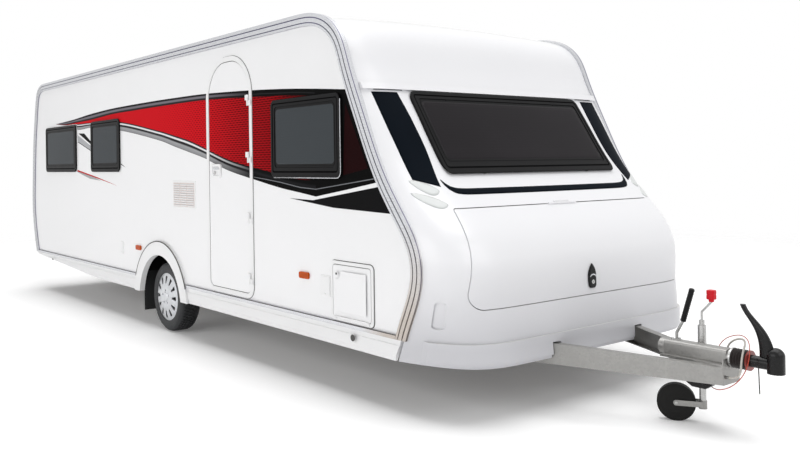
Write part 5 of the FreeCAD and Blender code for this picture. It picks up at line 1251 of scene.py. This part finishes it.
def circleLoop(y, z, radius, steps=24):
    return [(y + radius * math.cos(2 * math.pi * i / steps), z + radius * math.sin(2 * math.pi * i / steps))
            for i in range(steps)]


half = [(lidHandle["halfWidth"] * w, lidHeight(h)) for h, w in lidHandle["outline"]]
outline = half + [(-y, z) for y, z in reversed(half[:-1])]
middle = lidHeight(lidHandle["middle"])
shield = lidPart("lidHandleShield",
                 [([(y * scale, middle + (z - middle) * scale) for y, z in outline], height)
                  for scale, height in lidHandle["layers"]],
                 finish["blackGripPlastic"])
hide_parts("lid_handle")
crescent = []
first, last, parts = lidHandle["arc"]
for way, (share, wide, rise) in zip((1, -1), lidHandle["crescent"]):
    angles = [math.radians(first + (last - first) * step / parts) for step in range(parts + 1)][::way]
    crescent += [(wide * math.cos(angle), lidHeight(share) + rise * math.sin(angle)) for angle in angles]
lidPart("lidHandleCrescent", [(crescent, height) for height in lidHandle["crescentHeights"]],
        finish["brightLacquerAndEdgeHighlight"])
lockHeight = lidHeight(lidHandle["lockAt"])
lidPart("lidHandleLock", [(circleLoop(0, lockHeight, radius), height)
                          for radius, height in lidHandle["lock"]],
        finish["zincPlatedSteel"])
wide, tall, radius = lidHandle["keySlot"]
keySlot = roundedLoop(-wide, wide, lockHeight - tall, lockHeight + tall, radius)
lidPart("lidHandleKeySlot", [(keySlot, height) for height in lidHandle["keySlotHeights"]],
        finish["blackRubberAndGrooveShade"])

# Door handle: white housing with a recess, a grip bar across it and a lock below.
doorHandle = {
    "x": (0.4805, 0.6405), "z": (1.456, 1.572), "plane": 1.2541,
    # inset, height over the door, corner radius
    "steps": [(0, 0, 0.024), (0, 0.0125, 0.024), (0.003, 0.0155, 0.022), (0.014, 0.0158, 0.018),
              (0.017, 0.0145, 0.016), (0.022, 0.0055, 0.012)],
    "gripX": (0.508, 0.618), "gripDepth": (0.005, 0.0152), "gripZ": (1.526, 1.543), "gripRadius": 0.007,
    "gripBevel": 0.003, "lock": (0.532, 0.004, 1.497), "lockSides": 24,
    "lockProfile": [(0.0145, 0), (0.0145, 0.0085), (0.0125, 0.01)],
}
plane = doorHandle["plane"]
(x0, x1), (z0, z1) = doorHandle["x"], doorHandle["z"]
loops = [[(x, -plane - proud, z)
          for x, z in roundedLoop(x0 + inset, x1 - inset, z0 + inset, z1 - inset, radius)]
         for inset, proud, radius in doorHandle["steps"]]
housing = addPiece("doorHandleHousing", stackedMesh(loops), finish["whiteAbsMoulding"], "entrance_door")
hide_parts("door_handle")
near, far = doorHandle["gripDepth"]
grip = plateLoops(*doorHandle["gripX"], plane + near, plane + far, *doorHandle["gripZ"],
                  doorHandle["gripRadius"], doorHandle["gripBevel"])
addPiece("doorGripBar", stackedMesh(grip), finish["silverMetallicLacquer"], "entrance_door")
x, proud, z = doorHandle["lock"]
lock = turnedLoops(doorHandle["lockProfile"], Vector((x, -plane - proud, z)), doorSide, up,
                   doorHandle["lockSides"])
addPiece("doorLock", stackedMesh(lock), finish["zincPlatedSteel"], "entrance_door")
print("stage: handles")


# Wall vent with fine louvres, the insect mesh behind them in painted shade, and the flaps over the inlets.
vent = {
    "x": (-0.3095, 0.1555), "z": (1.18, 1.426), "columns": 3, "rows": 10, "plate": 0.004, "radius": 0.012,
    "bevel": 0.0025, "bladeX": 0.03, "bladeZ": 0.022, "marginX": 0.05, "marginZ": 0.04, "bladeGap": 0.014,
    "bladeShare": 0.62, "slopeFrom": 0.45, "slope": 0.003, "bladeRadius": 0.003,
    "bladeSteps": [(0, 0.0035), (0.001, 0.0075), (0.003, 0.0075)],  # inset, height over the wall
    # insets in x and z, rear and front face; then corner radius and bevel
    "mesh": (0.022, 0.016, 0.0036, 0.0045), "meshEdge": (0.004, 0.0003),
}
wall = body["halfWidth"]
(x0, x1), (z0, z1) = vent["x"], vent["z"]
plate = stackedMesh(plateLoops(x0, x1, wall, wall + vent["plate"], z0, z1, vent["radius"], vent["bevel"]))
columnWidth = (x1 - x0 - vent["marginX"]) / vent["columns"]
rowHeight = (z1 - z0 - vent["marginZ"]) / vent["rows"]
bladeX, bladeZ = x0 + vent["bladeX"], z0 + vent["bladeZ"]
loops = []
for inset, proud in vent["bladeSteps"]:
    outline = roundedLoop(bladeX + inset, bladeX + columnWidth - vent["bladeGap"] - inset, bladeZ + inset,
                          bladeZ + rowHeight * vent["bladeShare"] - inset, vent["bladeRadius"], 3)
    loops.append([(x, (vent["slope"] if z > bladeZ + rowHeight * vent["slopeFrom"] else 0) - wall - proud, z)
                  for x, z in outline])
white = finish["whiteAbsMoulding"]
column = repeatMesh(stackedMesh(loops), white, vent["rows"], step=(0, 0, rowHeight))
blades = repeatMesh(column, white, vent["columns"], step=(columnWidth, 0, 0))

flaps = {
    # rear, front, bottom and top of each flap
    "places": [(-1.5745, -1.4905, 0.666, 0.798), (2.0415, 2.1635, 0.655, 0.799)],
    # rear and front face, corner radius and bevel of the base, the lid and its finger tab
    "base": (0.0, 0.0045, 0.01, 0.002), "lidInset": 0.008, "lid": (0.004, 0.008, 0.007, 0.002),
    "tabHalf": 0.012, "tabZ": (0.012, 0.022), "tab": (0.0075, 0.012, 0.004, 0.0015),
}
meshes = [plate, blades]
for x0, x1, z0, z1 in flaps["places"]:
    inset, middle, half = flaps["lidInset"], (x0 + x1) / 2, flaps["tabHalf"]
    low, high = flaps["tabZ"]
    work = bmesh.new()
    for box, (near, far, radius, bevel) in (
            ((x0, x1, z0, z1), flaps["base"]),
            ((x0 + inset, x1 - inset, z0 + inset, z1 - inset), flaps["lid"]),
            ((middle - half, middle + half, z0 + low, z0 + high), flaps["tab"])):
        stackLoops(work, plateLoops(box[0], box[1], wall + near, wall + far, box[2], box[3], radius, bevel))
    meshes.append(toMesh(work))
louvre = addPiece("ventAndFlaps", joinMeshes(meshes), white, "caravan")
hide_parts("wall_vents")
(x0, x1), (z0, z1) = vent["x"], vent["z"]
insetX, insetZ, near, far = vent["mesh"]
screen = plateLoops(x0 + insetX, x1 - insetX, wall + near, wall + far, z0 + insetZ, z1 - insetZ,
                    *vent["meshEdge"])
# The mesh's reddish grey is painted shade seen through the slots.
addPiece("ventMeshInPaintedShade", stackedMesh(screen), vinyl["ventMeshShade"], "caravan")
print("stage: vent and flaps")


# Handbrake grip, crank knob, and the small fixings of the drawbar.
drawbar = {
    "grip": ((3.9655, 0.066, 0.586), (4.0255, 0.066, 0.779)), "gripRibs": 14, "ribPitch": 0.065,
    "rib": [(0.03, 0.0168), (0.055, 0.0168), (0.06, 0.0156), (0.085, 0.0156)],  # share of the length, radius
    "gripFoot": [(-0.01, 0.0125), (0.0, 0.0165)],
    "gripHead": [(0.975, 0.0168), (1.0, 0.0168), (1.03, 0.0145), (1.045, 0.008)],
    "knobInset": 0.022, "knobRounding": 0.55,
    # height over the top of the crank, half width
    "knob": [(-0.069, 0.0095), (-0.066, 0.0132), (-0.0535, 0.0132), (-0.0525, 0.0222), (-0.049, 0.0238),
             (-0.03, 0.0238), (-0.0265, 0.0226), (-0.0225, 0.0226), (-0.019, 0.0238), (-0.002, 0.0236),
             (0.0008, 0.0226), (0.0024, 0.0186)],
    "housingBolts": [(3.945, -0.012, 0.482), (3.975, 0.012, 0.482)], "housingBolt": (0.008, 0.013),
    "legBolt": (4.235, -0.0475, 0.355), "legBoltSize": (0.009, 0.012), "legBoltStep": (0.04, 0.002, -0.02),
    # start, end, profile of (share of the length, radius), finish, slot, sides
    "sleeves": {
        "bellowsRearRing": ((4.311, 0, 0.436), (4.322, 0, 0.436),
                            [(0, 0.05), (0, 0.0575), (1, 0.0575), (1, 0.05)],
                            "zincPlatedSteel", "galvanised", 32),
        "bellowsFrontRing": ((4.408, 0, 0.436), (4.417, 0, 0.436),
                             [(0, 0.044), (0, 0.0565), (1, 0.0565), (1, 0.044)], "redPrimedRing",
                             "red_lens", 32),
        "couplingPin": ((4.467, -0.018, 0.428), (4.482, -0.036, 0.27),
                        [(0, 0.003), (0.96, 0.003), (1, 0.002)], "blackGripPlastic", "black_plastic", 12),
    },
}


def sleeve(name, start, end, profile, finishName, slotName, steps):
    # A turned piece between two points of the drawbar.
    start, end = Vector(start), Vector(end)
    axis, length = (end - start).normalized(), (end - start).length
    loops = turnedLoops([(radius, share * length) for share, radius in profile], start, axis,
                        axis.orthogonal().normalized(), steps)
    addPiece(name, stackedMesh(loops), finish[finishName], "caravan")


# Shares of a bolt's radius and height, and the number of sides.
boltParts = [([(1.35, 0), (1.35, 0.25)], 20), ([(1, 0.25), (1, 0.9), (0.86, 1)], 6)]


def hexBolt(work, centre, axis, radius, height):
    # Hexagon head on a washer.
    axis = Vector(axis).normalized()
    for profile, steps in boltParts:
        stackLoops(work, turnedLoops([(radius * wide, height * far) for wide, far in profile],
                                     Vector(centre), axis, axis.orthogonal().normalized(), steps))


ribs = [(share + index * drawbar["ribPitch"], radius) for index in range(drawbar["gripRibs"])
        for share, radius in drawbar["rib"]]
sleeve("handbrakeGrip", *drawbar["grip"], drawbar["gripFoot"] + ribs + drawbar["gripHead"],
       "blackGripPlastic", "black_plastic", 32)
(_, crankRight, _), (crankFront, crankLeft, crankTop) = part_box("jockey_crank")
knobX, knobY = crankFront - drawbar["knobInset"], (crankRight + crankLeft) / 2
loops = [[(knobX + u, knobY + v, crankTop + rise)
          for u, v in roundedLoop(-half, half, -half, half, half * drawbar["knobRounding"], 4)]
         for rise, half in drawbar["knob"]]
addPiece("crankKnob", stackedMesh(loops), finish["redKnobPlastic"], "caravan")
work = bmesh.new()
for place in drawbar["housingBolts"]:
    hexBolt(work, place, up, *drawbar["housingBolt"])
bolts = toMesh(work)
work = bmesh.new()
hexBolt(work, drawbar["legBolt"], doorSide, *drawbar["legBoltSize"])
sideBolts = repeatMesh(toMesh(work), finish["zincPlatedSteel"], 2, step=drawbar["legBoltStep"])
addPiece("drawbarBolts", joinMeshes([bolts, sideBolts]), finish["zincPlatedSteel"], "caravan")
for name, values in drawbar["sleeves"].items():
    sleeve(name, *values)

# Black clamp bracket under the drawbar, and the moulded rings and axle bolts of the jockey wheel.
jockey = {
    "bracket": [(4.045, 0.2885), (4.235, 0.2885), (4.22, 0.266), (4.186, 0.243), (4.102, 0.243),
                (4.062, 0.266)],
    "bracketMiddle": (4.14, 0.27),
    "bracketLayers": [(0.03, -0.0745), (0.0, -0.0725), (0.0, -0.0345), (0.03, -0.0325)],  # shrinkage, y
    "bracketBolts": [(4.09, -0.0735, 0.274), (4.19, -0.0735, 0.274)], "bracketBolt": (0.0065, 0.009),
    "swivel": (4.0755, 0.086), "turn": 212, "trail": 0.148, "axle": 0.11,  # the wheel's place behind its stem
    "halfWheel": 0.026, "boltFace": 0.034, "axleBolt": (0.0085, 0.008),
    "rings": [(0.099, -0.001), (0.099, 0.0006), (0.094, 0.0016), (0.09, 0.0006), (0.068, 0.0006),
              (0.064, 0.0016), (0.052, 0.0016), (0.048, 0.0006), (0.024, 0.0006), (0.022, 0.0016)],
    "ringSides": 64,
}
middleX, middleZ = jockey["bracketMiddle"]
work = bmesh.new()
stackLoops(work, [[(x + (middleX - x) * shrink, y, z + (middleZ - z) * shrink) for x, z in jockey["bracket"]]
                  for shrink, y in jockey["bracketLayers"]])
for place in jockey["bracketBolts"]:
    hexBolt(work, place, doorSide, *jockey["bracketBolt"])
addPiece("jockeyClampBracket", toMesh(work), finish["blackPowderCoat"], "caravan")
turn, trail = math.radians(jockey["turn"]), jockey["trail"]
outward = Vector((-math.sin(turn), math.cos(turn), 0))
x, y = jockey["swivel"]
hub = Vector((x + trail * math.cos(turn), y + trail * math.sin(turn), jockey["axle"]))
rings, axleBolts = bmesh.new(), bmesh.new()
for way in (outward, -outward):
    stackLoops(rings, turnedLoops(jockey["rings"], hub + way * jockey["halfWheel"], way, up,
                                  jockey["ringSides"]))
    hexBolt(axleBolts, hub + way * jockey["boltFace"], way, *jockey["axleBolt"])
addPiece("jockeyWheelRings", toMesh(rings), finish["solidWheelRubber"], "jockey_wheel")
addPiece("jockeyAxleBolt", toMesh(axleBolts), finish["zincPlatedSteel"], "jockey_fork")
print("stage: drawbar fittings")

# Gasket lines: thin rubber in the gaps round the door and the hatch, dark also as painted shade of the gaps;
# grey painted shadow lines round the frames of the door and the hatch, and along the edges of the arches.
doorEdge = {"x": (0.4205, 1.1005), "z": (0.552, 2.402), "foot": 0.062, "head": 0.296, "footSteps": 8,
            "headSteps": 18}
hatch = {"x": (2.1955, 2.6155), "z": (0.533, 0.888)}
gaskets = {
    # outline, how far it lies outside the edge, corner radius, distance from the middle, thickness, finish
    "doorGasketAndGapShade": ("door", -0.0022, None, 1.2508, 0.0026, "blackGasketAndGapShade"),
    "doorFrameShadowLine": ("door", 0.0412, None, 1.2505, 0.0022, "greyRubberAndShadowLine"),
    "hatchGasketAndGapShade": ("hatch", -0.0022, 0.0225, 1.2525, 0.0018, "greyRubberAndShadowLine"),
    "hatchFrameShadowLine": ("hatch", 0.0235, 0.037, 1.2505, 0.0032, "greyRubberAndShadowLine"),
}
arch = {"centre": (-0.6045, 0.262), "radius": 0.5905, "plane": 1.2662, "thickness": 0.0052,
        "angles": (20, 161, 3)}


def bead(name, points, radius, finishName, closed=True, steps=8):
    # A round bead through points that lie in a wall's plane.
    count = len(points)
    loops = []
    for index, point in enumerate(points):
        point = Vector(point)
        before = Vector(points[index - 1]) if closed or index > 0 else point
        after = Vector(points[(index + 1) % count]) if closed or index < count - 1 else point
        along = (after - before).normalized()
        across = along.cross(doorSide).normalized()
        lift = across.cross(along)
        loops.append([point + (across * math.cos(2 * math.pi * i / steps)
                               + lift * math.sin(2 * math.pi * i / steps))
                      * radius for i in range(steps)])
    addPiece(name, stackedMesh(loops, joined=closed), finish[finishName], "caravan", smooth=True)


def doorOutline(grow):
    # The door's outline in (x, z): a round head and smaller round feet.
    (x0, x1), (z0, z1) = ((low - grow, high + grow) for low, high in (doorEdge["x"], doorEdge["z"]))
    foot, head = doorEdge["foot"] + grow, doorEdge["head"] + grow
    points = []
    for cx, cz, radius, start, steps in ((x1 - foot, z0 + foot, foot, -90, doorEdge["footSteps"]),
                                         (x1 - head, z1 - head, head, 0, doorEdge["headSteps"]),
                                         (x0 + head, z1 - head, head, 90, doorEdge["headSteps"]),
                                         (x0 + foot, z0 + foot, foot, 180, doorEdge["footSteps"])):
        for step in range(steps + 1):
            angle = math.radians(start + 90 * step / steps)
            points.append((cx + radius * math.cos(angle), cz + radius * math.sin(angle)))
    return points


for name, (around, grow, radius, distance, thickness, finishName) in gaskets.items():
    (x0, x1), (z0, z1) = hatch["x"], hatch["z"]
    outline = doorOutline(grow) if around == "door" else roundedLoop(x0 - grow, x1 + grow, z0 - grow,
                                                                     z1 + grow, radius)
    bead(name, [(x, -distance, z) for x, z in outline], thickness, finishName)
x, z = arch["centre"]
archEdge = [(x + arch["radius"] * math.cos(math.radians(angle)),
             z + arch["radius"] * math.sin(math.radians(angle)))
            for angle in range(*arch["angles"])]
for side, label in sides:
    bead("archShadowLine" + label, [(x, side * arch["plane"], z) for x, z in archEdge], arch["thickness"],
         "greyRubberAndShadowLine", closed=False)

# The hatch's pressed panel with its notch round the lock, and the lock.
hatchFace = -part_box("service_hatch")[0][1]
hatchPanel = {
    "outline": [(2.2385, 0.575), (2.5725, 0.575), (2.5725, 0.845), (2.305, 0.845), (2.298, 0.812),
                (2.2755, 0.796), (2.2385, 0.79)],
    "middle": (2.405, 0.71), "layers": [(0, -0.0005), (0.003, 0.0006), (0.012, 0.0012), (0.02, 0.0012)],
    "lock": (2.2565, 0.826), "ringLift": -0.0005, "ring": [(0.016, 0), (0.016, 0.0035), (0.014, 0.0045)],
    "ringSides": 24,
    "barrelLift": 0.0035, "barrel": [(0.0075, 0), (0.0075, 0.002), (0.006, 0.0025)], "barrelSides": 20,
}
middleX, middleZ = hatchPanel["middle"]
loops = [[(x + (middleX - x) * shrink, -hatchFace - proud, z + (middleZ - z) * shrink)
          for x, z in hatchPanel["outline"]] for shrink, proud in hatchPanel["layers"]]
addPiece("hatchPressedPanel", stackedMesh(loops), finish["enamelledAluminiumSheet"], "service_hatch")
x, z = hatchPanel["lock"]
ring = turnedLoops(hatchPanel["ring"], Vector((x, -hatchFace - hatchPanel["ringLift"], z)), doorSide, up,
                   hatchPanel["ringSides"])
addPiece("hatchLockRing", stackedMesh(ring), white, "service_hatch")
barrel = turnedLoops(hatchPanel["barrel"], Vector((x, -hatchFace - hatchPanel["barrelLift"], z)), doorSide,
                     up, hatchPanel["barrelSides"])
addPiece("hatchLockBarrel", stackedMesh(barrel), finish["blackRubberAndGrooveShade"], "service_hatch")

# A rubber insert along the top of the lower rails, and a bright bead along the lounge windows' front edge and
# foot: a painted highlight on the frames' rounded edge.
railInsert = {"above": 0.026, "reach": 0.01, "near": 0.0006, "plane": 1.2615, "thickness": 0.0032, "parts": 6}
# Rise gives the points up the window's front edge, and run those along its foot, from its rear.
edgeHighlight = {"grow": 0.002, "radius": 0.046, "proud": 0.0135, "thickness": 0.0036, "rise": (0.53, 0.3),
            "run": (0.4, 0.04)}
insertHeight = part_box("body_rails")[0][2] + railInsert["above"]
ends = sorted({round(vertex.co.x, 3) for vertex in nodes["body_rails"].data.vertices
               if abs(vertex.co.z - insertHeight) < railInsert["near"]
               and vertex.co.y < -body["halfWidth"] - railInsert["reach"]})
_, rear, length, sill, _ = windows["loungeRight"]
grow, radius = edgeHighlight["grow"], edgeHighlight["radius"]
u0, u1, v0 = rear - grow, rear + length + grow, sill - grow
highlightPath = [(u1, v0 + rise) for rise in edgeHighlight["rise"]]
highlightPath += [(u1 - radius + radius * math.sin(math.radians(angle)),
          v0 + radius - radius * math.cos(math.radians(angle)))
         for angle in range(90, -1, -10)]
highlightPath += [(u0 + run, v0) for run in edgeHighlight["run"]]
for side, label in sides:
    for index, (start, end) in enumerate(((ends[0], ends[1]), (ends[-2], ends[-1]))):
        points = [(start + (end - start) * step / railInsert["parts"], side * railInsert["plane"],
                   insertHeight)
                  for step in range(railInsert["parts"] + 1)]
        bead("lowerRailInsert" + label + str(index), points, railInsert["thickness"], "greyRubberAndShadowLine",
             closed=False)
    bead("windowEdgeHighlight" + label, [(x, side * (body["halfWidth"] + edgeHighlight["proud"]), z) for x, z in highlightPath],
         edgeHighlight["thickness"], "brightLacquerAndEdgeHighlight", closed=False)

# Covers over the jacking points in the skirts.
skirtCovers = {"plane": 1.2677, "places": [(2.427, 0.422, 0.022), (-3.743, 0.429, 0.014)],
               "profile": [(1, 0), (1, 0.0028), (0.86, 0.0036), (0.8, 0.0022)], "sides": 28}
for side, label in sides:
    for index, (x, z, radius) in enumerate(skirtCovers["places"]):
        profile = [(radius * wide, proud) for wide, proud in skirtCovers["profile"]]
        loops = turnedLoops(profile, Vector((x, side * skirtCovers["plane"], z)), Vector((0, side, 0)), up,
                            skirtCovers["sides"])
        addPiece("skirtCover" + label + str(index), stackedMesh(loops), finish["greyRubberAndShadowLine"], "caravan")
print("stage: gaskets, hatch and covers")
